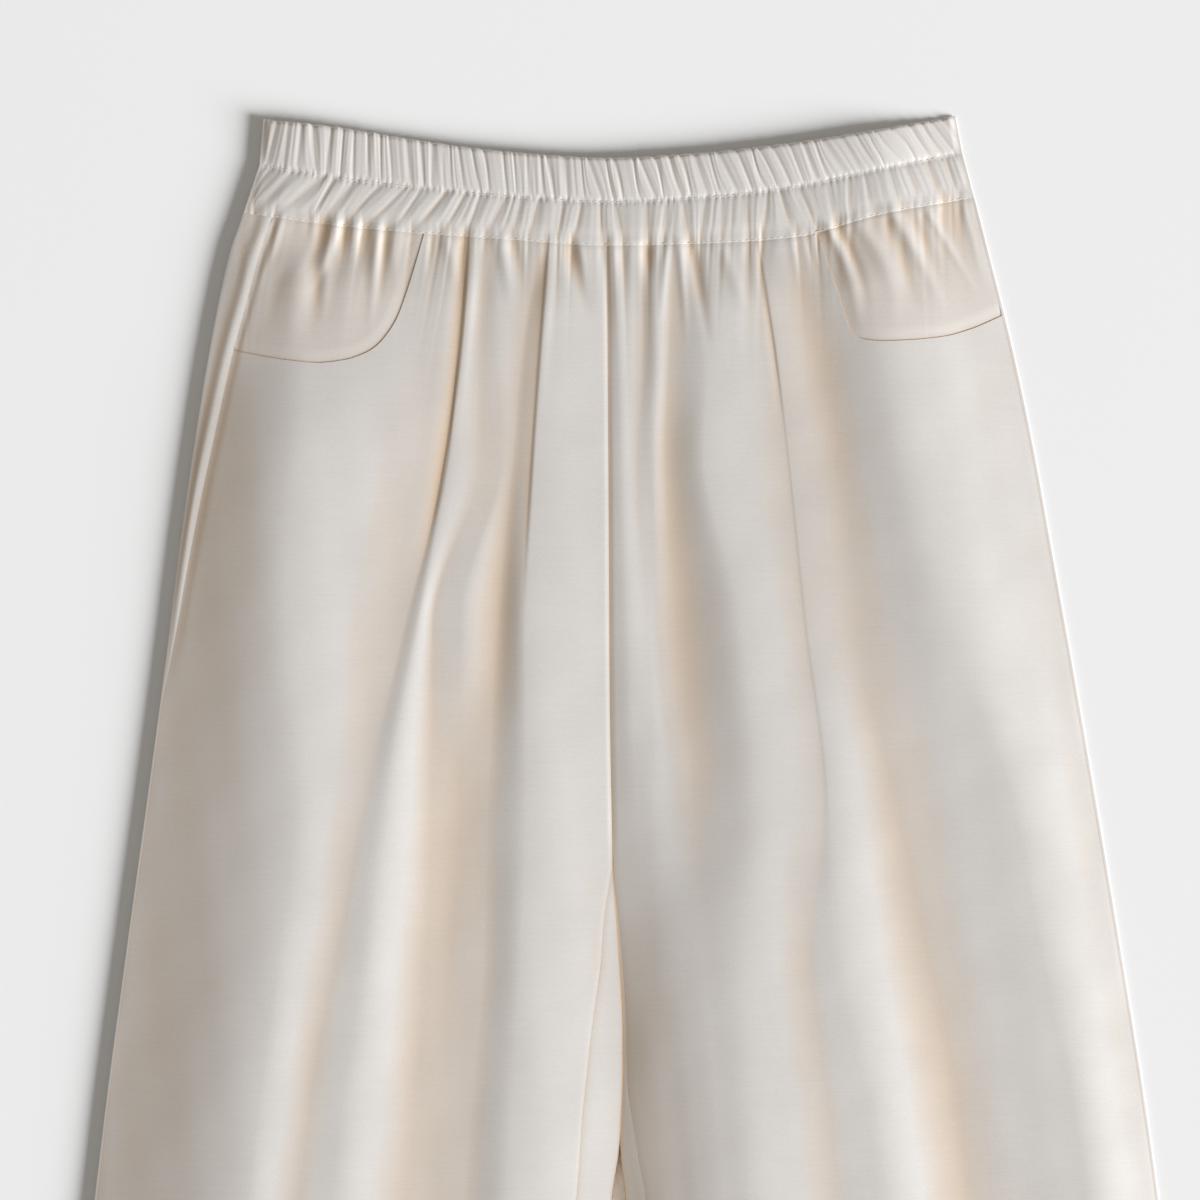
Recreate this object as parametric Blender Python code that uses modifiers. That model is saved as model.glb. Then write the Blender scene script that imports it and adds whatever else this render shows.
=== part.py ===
"""Wide-leg silk trousers with a gathered elastic waist, laid flat with the front upwards.

The waist points to +Y, the hems to -Y, and the cloth rests on z = 0. The wearer's right leg is at -X.
Each cut piece is one sheet of cloth with a wall: two fronts with a scooped pocket edge, two side
fronts that show inside the pockets, two backs that wrap round the sides and the inner legs, and the
two halves of the waistband. Sizes are in millimetres and become metres when the meshes are made.
Places are given as "across", the distance from the middle of the part to +X, and "down", the distance
below the highest corner of the waist.
"""

import math

import bmesh
import bpy
import numpy as np

MM = 0.001

# Driving sizes
LENGTH = 1072.0
WALL = 1.2
SEAM_GAP = 0.3
ROLL = 2.5
EDGE_HEIGHT = 2.0 * ROLL
CROTCH_DOWN = 377.5
FORK_DOWN = 514.5
FADE_BELOW_BAND = 35.0
EDGE_STEEPNESS = 1.4
LEAST_RUN = 0.5
SETTLING_STEPS = 4

# Waistband sizes
BAND_TOP_ACROSS = (-183.0, 164.5)
BAND_MIDDLE_ACROSS = (-185.0, 168.0)
BAND_LOW_ACROSS = (-193.0, 174.0)
UPPER_GATHERS = 53
LOWER_GATHERS = 35
POINTS_PER_GATHER = 4
GATHER_HEIGHT = 1.0
PINCHED_GATHER = 0.25
CHANNEL_BULGE = 2.2
TOP_SWELL = 0.25
BAND_INSIDE = 2.7
BAND_BACK_WALL = 1.5
PARTING_HEIGHT = 2.0
GATHER_LEAN = 0.9
UPRIGHT_UPPER_SHARE = 0.2
UPRIGHT_LOWER_SHARE = 0.6
BAND_LEVELS = (0.0, 0.2, 0.42, 0.5, 0.64, 0.84, 1.0)

# Slow waves that make the gathers uneven: size, turns along the band and where each starts
UNEVEN_WAVES = ((0.25, 31.0, 0.0), (0.15, 77.0, 1.0))

# Side front sizes
UNDERLAP = 10.0
UNDERLAP_SLOPE = 0.28
UNDER_DROP = WALL + SEAM_GAP + 0.3
POCKET_PUFF = 0.8
POCKET_GATHERS = 5
POCKET_GATHER_DRIFT = 2.0
POCKET_GATHER_FADE = 0.7
POCKET_FADE = 14.0
POCKET_RIM = 6.0
TUCK_IN = 1.0
TUCKED_FROM = 0.67
SIDE_FRONT_COLUMNS = 17
SIDE_FRONT_LINES = 9

# Share of the width, then how far down the band's top edge, middle row and lower row lie there
BAND_LINES = (
    (0.00, 2.5, 25.5, 49.5),
    (0.10, 6.3, 31.3, 54.8),
    (0.23, 13.5, 37.0, 59.5),
    (0.35, 18.8, 41.0, 62.6),
    (0.50, 22.0, 44.0, 66.0),
    (0.63, 19.5, 41.8, 65.0),
    (0.75, 15.0, 37.2, 62.0),
    (0.87, 8.7, 28.5, 50.5),
    (1.00, 0.5, 19.0, 41.5),
)

# Down, then across of the outermost line of each side
OUTLINE = {
    "right": ((41.0, -191.0), (49.5, -193.0), (68.5, -199.5), (118.5, -210.0), (168.5, -218.0),
              (218.5, -225.0), (268.5, -231.2), (343.5, -241.2), (418.5, -251.5), (493.5, -261.5),
              (543.5, -267.5), (1072.0, -334.0)),
    "left": ((41.0, 174.0), (68.5, 181.0), (118.5, 193.5), (168.5, 204.0), (218.5, 213.0),
             (268.5, 222.0), (343.5, 235.0), (418.5, 247.5), (493.5, 259.5), (543.5, 266.5),
             (1072.0, 334.0)),
}

# Down, then how far the side seam lies in from the outline
SIDE_SEAM_INSET = {
    "right": ((41.0, 16.0), (83.0, 15.3), (118.5, 12.6), (154.0, 10.4), (194.0, 7.6), (230.0, 5.4),
              (270.0, 4.4), (1072.0, 4.2)),
    "left": ((41.0, 4.2), (1072.0, 4.2)),
}

# Down, then across of the centre seam, the line where the legs touch, and each leg's inner edge
INNER_LINE = {
    "right": ((41.0, -10.5), (203.5, -9.5), (293.5, -9.0), (353.5, -8.0), (377.5, -7.5), (411.5, -5.0),
              (463.5, -2.5), (514.5, -4.0), (543.5, -8.25), (700.0, -20.0), (1072.0, -39.0)),
    "left": ((41.0, -10.5), (203.5, -9.5), (293.5, -9.0), (353.5, -8.0), (377.5, -7.5), (411.5, -5.0),
             (463.5, -2.5), (514.5, -4.0), (543.5, -1.35), (700.0, 9.0), (1072.0, 31.0)),
}

# Down, then how far the inseam lies from the inner line, which is where the back wraps round to
INSEAM_INSET = {
    "right": ((377.5, 1.2), (405.0, 6.5), (423.5, 9.0), (463.5, 16.0), (514.5, 19.5), (543.5, 17.5),
              (1072.0, 20.0)),
    "left": ((377.5, 1.2), (405.0, 3.2), (440.0, 4.4), (484.0, 4.8), (514.5, 8.5), (543.5, 10.5),
             (1072.0, 20.0)),
}

# Across, then down of the pocket's scooped edge, from the side seam to the waistband
SCOOP = {
    "right": ((-197.5, 118.5), (-180.5, 122.0), (-167.0, 124.0), (-155.0, 125.0), (-141.5, 123.5),
              (-133.5, 121.0), (-127.0, 117.5), (-121.5, 112.0), (-115.5, 102.5), (-111.0, 90.5),
              (-107.0, 77.5), (-102.0, 60.0)),
    "left": ((188.5, 100.5), (172.5, 107.5), (158.5, 111.5), (140.0, 113.5), (127.5, 114.0),
             (117.5, 113.0), (111.5, 109.0), (108.2, 100.0), (105.0, 90.0), (99.5, 73.5), (94.0, 57.0)),
}

# Distances down at which the fold lines are given
FOLD_STATIONS = (68.5, 118.5, 168.5, 253.5, 343.5, 418.5, 493.5, 1072.0)

# Fold lines from -X to +X: name, then across and height at each station
FOLDS = {
    "right": (
        ("flank crest", (-164, 7.5), (-160, 9.2), (-165, 12.0), (-171, 13.0), (-166, 14.0),
         (-174, 14.4), (-184, 14.6), (-246, 14.0)),
        ("outer pleat foot", (-83, 6.6), (-86, 7.1), (-90.5, 6.9), (-113, 8.9), (-131, 11.6),
         (-145, 12.2), (-158, 12.6), (-216, 11.8)),
        ("outer pleat crest", (-79, 7.4), (-82, 7.8), (-86.5, 7.6), (-106, 9.3), (-123, 11.8),
         (-132, 12.4), (-143, 12.6), (-199, 11.8)),
        ("shallow dip", (-71.5, 6.6), (-73, 7.0), (-73, 6.8), (-97, 8.1), (-98, 8.3), (-101, 8.6),
         (-106, 8.7), (-157, 8.5)),
        ("narrow crest", (-64, 7.2), (-66, 7.1), (-63, 6.7), (-84, 8.1), (-84, 7.5), (-88, 8.1),
         (-93, 8.4), (-142, 8.2)),
        ("inner pleat foot", (-42.5, 5.6), (-50, 5.8), (-53, 6.0), (-64, 6.2), (-70, 7.8), (-72, 8.2),
         (-78, 8.6), (-125, 8.5)),
        ("inner pleat crest", (-38, 7.6), (-40, 7.7), (-40.5, 7.8), (-43, 8.6), (-48, 9.5), (-53, 9.6),
         (-58, 10.0), (-102, 10.2)),
    ),
    "left": (
        ("seam crest", (-4, 6.4), (-3.5, 6.4), (-3, 6.4), (0, 6.6), (4, 7.1), (9, 7.8), (14, 8.7),
         (60, 9.2)),
        ("seam dip", (6, 5.7), (7, 5.8), (5, 6.0), (9, 6.2), (14, 7.5), (17, 9.0), (23, 10.1),
         (69, 10.4)),
        ("second crest", (13.5, 6.9), (14.5, 6.6), (12, 6.2), (15, 5.9), (22, 7.5), (26, 10.0),
         (32, 11.3), (78, 11.5)),
        ("second dip", (24, 6.0), (21, 6.1), (19, 5.7), (24, 5.5), (31, 7.6), (37, 10.9), (44, 12.4),
         (89, 12.4)),
        ("broad crest", (44, 7.4), (41, 7.2), (38, 7.7), (56, 8.5), (63, 9.7), (57, 11.9), (59, 12.9),
         (106, 13.0)),
        ("pleat foot", (63, 6.3), (72.5, 6.1), (79.5, 6.2), (87.5, 7.3), (97.5, 8.3), (92, 10.1),
         (100, 10.7), (150, 10.6)),
        ("pleat crest", (66, 7.0), (75.5, 6.6), (82, 6.6), (90.5, 7.6), (100.5, 8.6), (103, 10.2),
         (120, 10.5), (173, 10.3)),
        ("outer dip", (81, 6.0), (92, 5.8), (101, 6.1), (112, 7.0), (135, 6.4), (150, 6.7), (165, 7.0),
         (224, 6.6)),
        ("outer crest", (111, 7.0), (128, 9.3), (137, 9.3), (158, 9.3), (192, 7.8), (206, 7.7),
         (222, 7.6), (290, 7.6)),
    ),
}

# Height of the cloth at the inner line at each station
INNER_HEIGHT = (5.4, 5.6, 5.6, 5.6, 5.6, 5.6, 5.4, EDGE_HEIGHT)

# Distances down of the rows of points: all pieces share the rows below LEVEL_FROM
ROWS = (66.0, 82.0, 102.0, 128.0, 156.0, 185.0, 218.0, 258.0, 305.0, 350.0, 377.5, 405.0, 440.0, 476.0,
        514.5, 560.0, 630.0, 720.0, 820.0, 940.0, 1072.0)
LEVEL_FROM = 218.0

# Columns of the fronts that are not set by the scoop: fold line number and share of the way to the next
FRONT_COLUMNS = {
    "right": (1.9, 2, 2.5, 3, 3.5, 4, 4.5, 5, 5.35, 5.7, 6, 6.5, 7, 7.3, 7.6, 7.85, 8),
    "left": (0, 0.5, 1, 1.5, 2, 2.5, 3, 3.5, 4, 4.5, 5, 5.25, 5.5, 5.75, 6, 6.5, 7, 7.4, 7.7, 8, 8.25),
}

# Shares of the way from the inner line to the inseam
WRAP_SHARES = (0.0, 0.04, 0.15, 0.4, 0.7, 1.0)
STRIP_SHARES = (0.0, 0.5, 1.0)
FLOOR_SHARES = (0.0, 0.15, 0.35, 0.6, 0.85, 1.0)
ROLL_STEPS = 6

INWARD = {"right": 1.0, "left": -1.0}

IVORY = (0.82, 0.74, 0.65, 1.0)
IVORY_SHADE = (0.80, 0.71, 0.61, 1.0)
SATIN_ROUGHNESS = 0.42


def ease(share):
    """A soft step from 0 to 1."""
    share = np.clip(share, 0.0, 1.0)
    return share * share * (3.0 - 2.0 * share)


def smooth(stations, values, at):
    """Value at `at` on a curve through the table that does not overshoot it."""
    stations = np.asarray(stations, float)
    values = np.asarray(values, float)
    at = np.clip(at, stations[0], stations[-1])
    gaps = np.diff(stations)
    slopes = np.diff(values) / gaps
    tangents = np.zeros_like(values)
    before, after = slopes[:-1], slopes[1:]
    same_way = before * after > 0
    tangents[1:-1][same_way] = 2 * before[same_way] * after[same_way] / (before + after)[same_way]
    tangents[0], tangents[-1] = slopes[0], slopes[-1]
    row = np.clip(np.searchsorted(stations, at) - 1, 0, len(gaps) - 1)
    gap = gaps[row]
    part = (at - stations[row]) / gap
    start = (1 + 2 * part) * (1 - part) ** 2 * values[row] + part * (1 - part) ** 2 * gap * tangents[row]
    end = part**2 * (3 - 2 * part) * values[row + 1] - part**2 * (1 - part) * gap * tangents[row + 1]
    return start + end


def from_table(table, at, column=1):
    """One column of a table as a smooth function of its first column."""
    rows = sorted(table)
    return smooth([row[0] for row in rows], [row[column] for row in rows], at)


def band_low(across):
    """How far down the waistband's lower row lies."""
    share = (across - BAND_LOW_ACROSS[0]) / (BAND_LOW_ACROSS[1] - BAND_LOW_ACROSS[0])
    return from_table(BAND_LINES, share, 3)


def outline(side, down):
    """Across of the outermost line of one side."""
    return from_table(OUTLINE[side], down)


def inner_line(side, down):
    """Across of the centre seam, the line where the legs touch, then the leg's inner edge."""
    return from_table(INNER_LINE[side], down)


def side_seam(side, down):
    """Across of the side seam, which lies in front of the outermost line."""
    return outline(side, down) + INWARD[side] * from_table(SIDE_SEAM_INSET[side], down)


def front_inner(side, down):
    """Inner edge of a front: the centre seam, then the inseam below the crotch."""
    inset = np.where(down < CROTCH_DOWN, 0.0, from_table(INSEAM_INSET[side], down))
    return inner_line(side, down) - INWARD[side] * inset


def fold_lines(side, down):
    """Across and height of one half's fold lines, from -X to +X, with the half's two ends."""
    down = np.asarray(down, float)
    places = [smooth(FOLD_STATIONS, [point[0] for point in fold[1:]], down) for fold in FOLDS[side]]
    heights = [smooth(FOLD_STATIONS, [point[1] for point in fold[1:]], down) for fold in FOLDS[side]]
    outer = (outline(side, down) + INWARD[side] * ROLL, np.full_like(down, EDGE_HEIGHT))
    inner = (inner_line(side, down) - INWARD[side] * ROLL, smooth(FOLD_STATIONS, INNER_HEIGHT, down))
    first, last = (outer, inner) if side == "right" else (inner, outer)
    return [first[0], *places, last[0]], [first[1], *heights, last[1]]


def between_folds(places, heights, across):
    """Height between fold lines: level on the crests and feet, steady on the slopes."""
    runs = [np.maximum(last - first, LEAST_RUN) for first, last in zip(places[:-1], places[1:])]
    slopes = [(last - first) / run for first, last, run in zip(heights[:-1], heights[1:], runs)]
    tangents = [EDGE_STEEPNESS * slopes[0]]
    for before, after in zip(slopes[:-1], slopes[1:]):
        both = np.where(before * after > 0, before + after, 1.0)
        tangents.append(np.where(before * after > 0, 2.0 * before * after / both, 0.0))
    tangents.append(EDGE_STEEPNESS * slopes[-1])
    height = heights[0] + np.zeros_like(across)
    for number, run in enumerate(runs):
        part = np.clip((across - places[number]) / run, 0.0, 1.0)
        turn = part**2 * (3.0 - 2.0 * part) * slopes[number] * run
        turn += part * (1.0 - part) ** 2 * run * tangents[number]
        turn -= part**2 * (1.0 - part) * run * tangents[number + 1]
        height = height + turn
    return height


def cloth_height(side, across, down):
    """Height of the outer face of the upper layer."""
    across, down = np.broadcast_arrays(np.asarray(across, float), np.asarray(down, float))
    height = between_folds(*fold_lines(side, down), across)
    below_band = ease((down - band_low(across)) / FADE_BELOW_BAND)
    height = EDGE_HEIGHT + (height - EDGE_HEIGHT) * below_band
    reach = np.clip(np.abs(across - inner_line(side, down)) / ROLL, 0.0, 1.0)
    parted = ease((down - CROTCH_DOWN) / (FORK_DOWN - CROTCH_DOWN))
    return height - parted * (height - ROLL) * (1.0 - np.sqrt(1.0 - (1.0 - reach) ** 2))


def metres(point):
    """The part's own coordinates of a point given as (across, down, height) in millimetres."""
    across, down, height = (float(value) for value in point)
    return across * MM, (LENGTH / 2.0 - down) * MM, height * MM


def add_object(name, bm, colour, collection):
    """Makes an object with its own material from a mesh."""
    mesh = bpy.data.meshes.new(name)
    bm.to_mesh(mesh)
    bm.free()
    mesh.shade_smooth()
    material = bpy.data.materials.new(name + " silk satin")
    material.use_nodes = True
    shader = material.node_tree.nodes["Principled BSDF"]
    shader.inputs["Base Color"].default_value = colour
    shader.inputs["Roughness"].default_value = SATIN_ROUGHNESS
    shader.inputs["Metallic"].default_value = 0.0
    mesh.materials.append(material)
    made = bpy.data.objects.new(name, mesh)
    collection.objects.link(made)
    return made


def sheet(name, rows, colour, collection, left_out=None):
    """A wall of cloth on a grid of points, given as rows from the hem up of (across, down, height).

    The outer face looks along column direction x row direction, and the wall grows inwards from it.
    `left_out` says which cells, by row and column, have no cloth.
    """
    row_count, column_count = len(rows), len(rows[0])
    bm = bmesh.new()
    bmesh.ops.create_grid(bm, x_segments=column_count - 1, y_segments=row_count - 1, size=1.0)
    bm.verts.ensure_lookup_table()
    bm.faces.ensure_lookup_table()
    for row_number, row in enumerate(rows):
        for column_number, point in enumerate(row):
            bm.verts[row_number * column_count + column_number].co = metres(point)
    if left_out:
        dropped = [
            bm.faces[row * (column_count - 1) + column]
            for row in range(row_count - 1)
            for column in range(column_count - 1)
            if left_out(row, column)
        ]
        bmesh.ops.delete(bm, geom=dropped, context="FACES")
    made = add_object(name, bm, colour, collection)
    wall = made.modifiers.new("cloth wall", "SOLIDIFY")
    wall.thickness = WALL * MM
    wall.offset = -1.0
    return made


def rows_below(top):
    """Distances down of one column's points, squeezed under its own top and level lower down."""
    rows = np.array(ROWS)
    squeeze = np.clip((LEVEL_FROM - rows) / (LEVEL_FROM - rows[0]), 0.0, 1.0)
    return rows + (top - rows[0]) * squeeze


def front_guides(side, down):
    """The lines that a front's columns run along: its side seam, its folds and its inner edge."""
    places = list(fold_lines(side, down)[0])
    seam = side_seam(side, down) + INWARD[side] * SEAM_GAP / 2.0
    inner = front_inner(side, down) - INWARD[side] * SEAM_GAP / 2.0
    places[0], places[-1] = (seam, inner) if side == "right" else (inner, seam)
    return places


def guide_number(side, across, down):
    """The place between two guides, as the first one's number and a share, that a point has."""
    places = [float(place) for place in front_guides(side, down)]
    for number in range(len(places) - 1):
        if across <= places[number + 1] or number == len(places) - 2:
            return number + (across - places[number]) / (places[number + 1] - places[number])
    return 0.0


def front_columns(side):
    """Guide number and top of each column of a front, from -X to +X."""
    columns = []
    for across, down in SCOOP[side]:
        at_band = (across, down) == SCOOP[side][-1]
        top = float(band_low(across)) + SEAM_GAP if at_band else down
        at_seam = (across, down) == SCOOP[side][0]
        seam_number = 0.0 if side == "right" else float(len(FOLDS[side]) + 1)
        columns.append((seam_number if at_seam else guide_number(side, across, top), top))
    for number in FRONT_COLUMNS[side]:
        columns.append((float(number), None))
    return sorted(columns, key=lambda column: column[0])


def on_guides(side, number, down):
    """Across of the point at a guide number, for a distance down."""
    places = front_guides(side, down)
    first = min(int(number), len(places) - 2)
    return places[first] + (number - first) * (places[first + 1] - places[first])


def make_front(side, collection):
    """A front: from the side seam to the centre seam and inseam, scooped for the pocket."""
    grid = []
    for number, top in front_columns(side):
        if top is None:
            top = ROWS[0]
            for _ in range(SETTLING_STEPS):
                top = float(band_low(on_guides(side, number, top))) + SEAM_GAP
        down = rows_below(top)
        across = on_guides(side, number, down)
        grid.append(np.stack([across, down, cloth_height(side, across, down)], axis=1))
    rows = np.stack(grid, axis=1)[::-1]
    return sheet("front_" + side, rows, IVORY, collection)


def back_columns():
    """The columns of a back, from the side seam round the outside to the inseam, as kinds and values."""
    columns = [("strip", share) for share in STRIP_SHARES[:-1]]
    columns += [("roll", math.pi / 2.0 - math.pi * step / ROLL_STEPS) for step in range(ROLL_STEPS + 1)]
    columns += [("floor", share) for share in FLOOR_SHARES[1:]]
    columns += [("inner roll", math.pi * step / ROLL_STEPS) for step in range(1, ROLL_STEPS // 2)]
    return columns + [("wrap", share) for share in WRAP_SHARES]


def back_points(side, kind, value, down):
    """Across and height of one column's points on a back's outer face."""
    down = np.asarray(down, float)
    inward = INWARD[side]
    roll_top = outline(side, down) + inward * ROLL
    inner = inner_line(side, down) - inward * SEAM_GAP / 2.0
    if kind == "strip":
        seam = side_seam(side, down) - inward * SEAM_GAP / 2.0
        across = seam + value * (roll_top - seam)
        return across, cloth_height(side, across, down)
    if kind == "roll":
        height = ROLL + ROLL * math.sin(value)
        return roll_top - inward * ROLL * math.cos(value), np.full_like(down, height)
    if kind == "floor":
        floor_end = np.where(down < FORK_DOWN, inner, inner - inward * ROLL)
        return roll_top + value * (floor_end - roll_top), np.zeros_like(down)
    if kind == "inner roll":
        height = ROLL - ROLL * math.cos(value)
        return inner - inward * ROLL * (1.0 - math.sin(value)), np.full_like(down, height)
    wrapped = from_table(INSEAM_INSET[side], down) - SEAM_GAP
    across = inner - inward * value * wrapped
    return across, cloth_height(side, across, down)


def back_top(side, kind, value):
    """How far down a back's column starts, just below the waistband."""
    top = ROWS[0]
    for _ in range(SETTLING_STEPS):
        top = float(band_low(back_points(side, kind, value, top)[0])) + SEAM_GAP
    return top


def make_back(side, collection):
    """A back: flat where it rests, round the side to the side seam and round the inner leg."""
    columns = back_columns()
    grid = []
    for kind, value in columns:
        down = rows_below(back_top(side, kind, value))
        across, height = back_points(side, kind, value, down)
        grid.append(np.stack([across, down, height], axis=1))
    rows = np.stack(grid, axis=1)[::-1]
    floor_last = columns.index(("floor", FLOOR_SHARES[-1]))
    wrap_first = columns.index(("wrap", WRAP_SHARES[0]))
    fork_row = len(ROWS) - 1 - ROWS.index(FORK_DOWN)
    crotch_row = len(ROWS) - 1 - ROWS.index(CROTCH_DOWN)
    last_cell = len(columns) - 2
    if side == "right":
        rows = rows[:, ::-1]

    def left_out(row, cell):
        cell = last_cell - cell if side == "right" else cell
        inner_roll = floor_last <= cell < wrap_first and row >= fork_row
        return inner_roll or (cell >= wrap_first and row >= crotch_row)

    return sheet("back_" + side, rows, IVORY_SHADE, collection, left_out)


def inside_scoop(side, across, down):
    """Distance from the scooped edge, above 0 where the pocket is open."""
    points = np.array(SCOOP[side], float)
    here = np.array((across, down))
    nearest = math.inf
    for start, end in zip(points[:-1], points[1:]):
        along = np.clip(np.dot(here - start, end - start) / np.dot(end - start, end - start), 0.0, 1.0)
        nearest = min(nearest, float(np.linalg.norm(here - start - along * (end - start))))
    past_band_end = (across - points[-1][0]) * INWARD[side] > 0
    open_here = down < from_table(SCOOP[side], across) and not past_band_end
    return nearest if open_here else -nearest


def side_front_place(side, s, t, band_end, foot):
    """Across and down of a side front's point: s runs from the side seam inwards, t from the band down."""
    inward = INWARD[side]
    foot_end = band_end - inward * UNDERLAP_SLOPE * (foot - SCOOP[side][-1][1])
    tucked = TUCK_IN * ease((t - TUCKED_FROM) / (1.0 - TUCKED_FROM))
    down = ROWS[0] + t * (foot - ROWS[0])
    for _ in range(SETTLING_STEPS):
        start = float(side_seam(side, down)) + inward * (SEAM_GAP / 2.0 + tucked)
        across = start + s * (band_end + t * (foot_end - band_end) - start)
        top = float(band_low(across)) + SEAM_GAP
        down = top + t * (foot - top)
    return across, down


def make_side_front(side, collection):
    """The side front that shows inside the pocket, gathered into the band, with its underlap."""
    inward = INWARD[side]
    band_end = SCOOP[side][-1][0] + inward * UNDERLAP
    foot = max(down for _, down in SCOOP[side]) + UNDERLAP
    grid = []
    for line in range(SIDE_FRONT_LINES):
        t = line / (SIDE_FRONT_LINES - 1)
        row = []
        for column in range(SIDE_FRONT_COLUMNS):
            s = column / (SIDE_FRONT_COLUMNS - 1)
            across, down = side_front_place(side, s, t, band_end, foot)
            shown = ease(inside_scoop(side, across, down) / POCKET_FADE)
            turns = POCKET_GATHERS * s + POCKET_GATHER_DRIFT * s / (2.0 * math.pi)
            wave = math.cos(2.0 * math.pi * turns) * (1.0 - POCKET_GATHER_FADE * t)
            rise = UNDER_DROP + POCKET_PUFF * wave * ease(POCKET_RIM * s) * ease(POCKET_RIM * t)
            height = float(cloth_height(side, across, down)) - UNDER_DROP + shown * rise
            row.append((across, down, height))
        grid.append(row if side == "right" else row[::-1])
    return sheet("side_front_" + side, grid[::-1], IVORY_SHADE, collection)


def band_place(share, level):
    """Across and down on the band: level 0 is its top edge, 0.5 the middle row, 1 the lower row."""
    tops = BAND_TOP_ACROSS[0] + share * (BAND_TOP_ACROSS[1] - BAND_TOP_ACROSS[0])
    middles = BAND_MIDDLE_ACROSS[0] + share * (BAND_MIDDLE_ACROSS[1] - BAND_MIDDLE_ACROSS[0])
    lows = BAND_LOW_ACROSS[0] + share * (BAND_LOW_ACROSS[1] - BAND_LOW_ACROSS[0])
    down_top, down_middle, down_low = (from_table(BAND_LINES, share, column) for column in (1, 2, 3))
    part = level * 2.0 if level < 0.5 else level * 2.0 - 1.0
    first, last = ((tops, down_top), (middles, down_middle))
    if level >= 0.5:
        first, last = ((middles, down_middle), (lows, down_low))
    return first[0] + part * (last[0] - first[0]), first[1] + part * (last[1] - first[1])


def band_end_round(share):
    """How far the rounded side of the band has risen, from 0 at its end to 1 on top."""
    width = BAND_TOP_ACROSS[1] - BAND_TOP_ACROSS[0]
    reach = min(share, 1.0 - share) * width / ROLL
    return math.sqrt(1.0 - (1.0 - min(reach, 1.0)) ** 2)


def gathered_height(share, level):
    """Height of the front band's outer face: two puffed channels, pinched at the sewn rows."""
    if level <= 0.5:
        swell = math.sin(math.pi * (TOP_SWELL + (1.0 - TOP_SWELL) * level * 2.0)) if level < 0.5 else 0.0
        turns = UPPER_GATHERS * share + GATHER_LEAN * level * (share - UPRIGHT_UPPER_SHARE)
    else:
        swell = math.sin(math.pi * (level * 2.0 - 1.0))
        turns = LOWER_GATHERS * share + GATHER_LEAN * level * (share - UPRIGHT_LOWER_SHARE)
    swell = max(swell, 0.0)
    size = 1.0 + sum(much * math.sin(turn * share + start) for much, turn, start in UNEVEN_WAVES)
    gather = (PINCHED_GATHER + (1.0 - PINCHED_GATHER) * swell) * GATHER_HEIGHT * size
    return EDGE_HEIGHT + swell * CHANNEL_BULGE + gather * math.cos(2.0 * math.pi * turns)


def lofted_band(name, outer, inner, colour, collection):
    """A closed band between a fine outer face and a plain inner one, both given as rows of columns."""
    bm = bmesh.new()
    outer_rows = [[bm.verts.new(metres(point)) for point in row] for row in outer]
    inner_rows = [[bm.verts.new(metres(point)) for point in row] for row in inner]
    count = len(outer[0])
    for upper, lower in zip(outer_rows[:-1], outer_rows[1:]):
        for column in range(count - 1):
            bm.faces.new((upper[column], upper[column + 1], lower[column + 1], lower[column]))
    for column in range(count - 1):
        for first, last in ((outer_rows[0], inner_rows[0]), (outer_rows[-1], inner_rows[-1])):
            bm.faces.new((first[column], first[column + 1], last[column + 1], last[column]))
        bm.faces.new((inner_rows[0][column], inner_rows[0][column + 1], inner_rows[-1][column + 1],
                      inner_rows[-1][column]))
    for column in (0, count - 1):
        edge = [row[column] for row in outer_rows]
        bm.faces.new(edge + [inner_rows[-1][column], inner_rows[0][column]])
    bmesh.ops.triangulate(bm, faces=[face for face in bm.faces if len(face.verts) > 4])
    bmesh.ops.recalc_face_normals(bm, faces=bm.faces)
    return add_object(name, bm, colour, collection)


def make_band_front(collection):
    """The upper half of the waistband: its gathers stand on the outside, over a plain inside."""
    columns = UPPER_GATHERS * POINTS_PER_GATHER
    parting = PARTING_HEIGHT + SEAM_GAP / 2.0
    outer = []
    for level in BAND_LEVELS:
        row = []
        for column in range(columns + 1):
            share = column / columns
            across, down = band_place(share, level)
            rise = band_end_round(share)
            row.append((across, down, parting + rise * (gathered_height(share, level) - parting)))
        outer.append(row)
    inner = []
    for level in (0.0, 1.0):
        row = []
        for column in range(columns + 1):
            share = column / columns
            across, down = band_place(share, level)
            across += WALL * (1.0 - 2.0 * share)
            rise = band_end_round(share)
            row.append((across, down, parting + rise * (BAND_INSIDE - parting)))
        inner.append(row)
    return lofted_band("waistband_front", outer, inner, IVORY, collection)


def make_band_back(collection):
    """The lower half of the waistband: flat where it rests, turned up at both sides."""
    parting = PARTING_HEIGHT - SEAM_GAP / 2.0
    width = BAND_LOW_ACROSS[1] - BAND_LOW_ACROSS[0]
    shares = {0.0, 1.0}
    for side in ("right", "left"):
        for kind, value in back_columns():
            if kind in ("roll", "floor"):
                across = back_points(side, kind, value, back_top(side, kind, value))[0]
                shares.add(round((float(across) - BAND_LOW_ACROSS[0]) / width, 5))
    shares = sorted(share for share in shares if 0.0 <= share <= 1.0)
    faces = {}
    for label, inset, height in (("outer", 0.0, 0.0), ("inner", WALL, BAND_BACK_WALL)):
        faces[label] = []
        for level in ((0.0, 0.5, 1.0) if label == "outer" else (0.0, 1.0)):
            row = []
            for share in shares:
                across, down = band_place(share, level)
                across += inset * (1.0 - 2.0 * share)
                rise = band_end_round(share)
                row.append((across, down, parting + rise * (height - parting)))
            faces[label].append(row)
    return lofted_band("waistband_back", faces["outer"], faces["inner"], IVORY_SHADE, collection)


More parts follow.
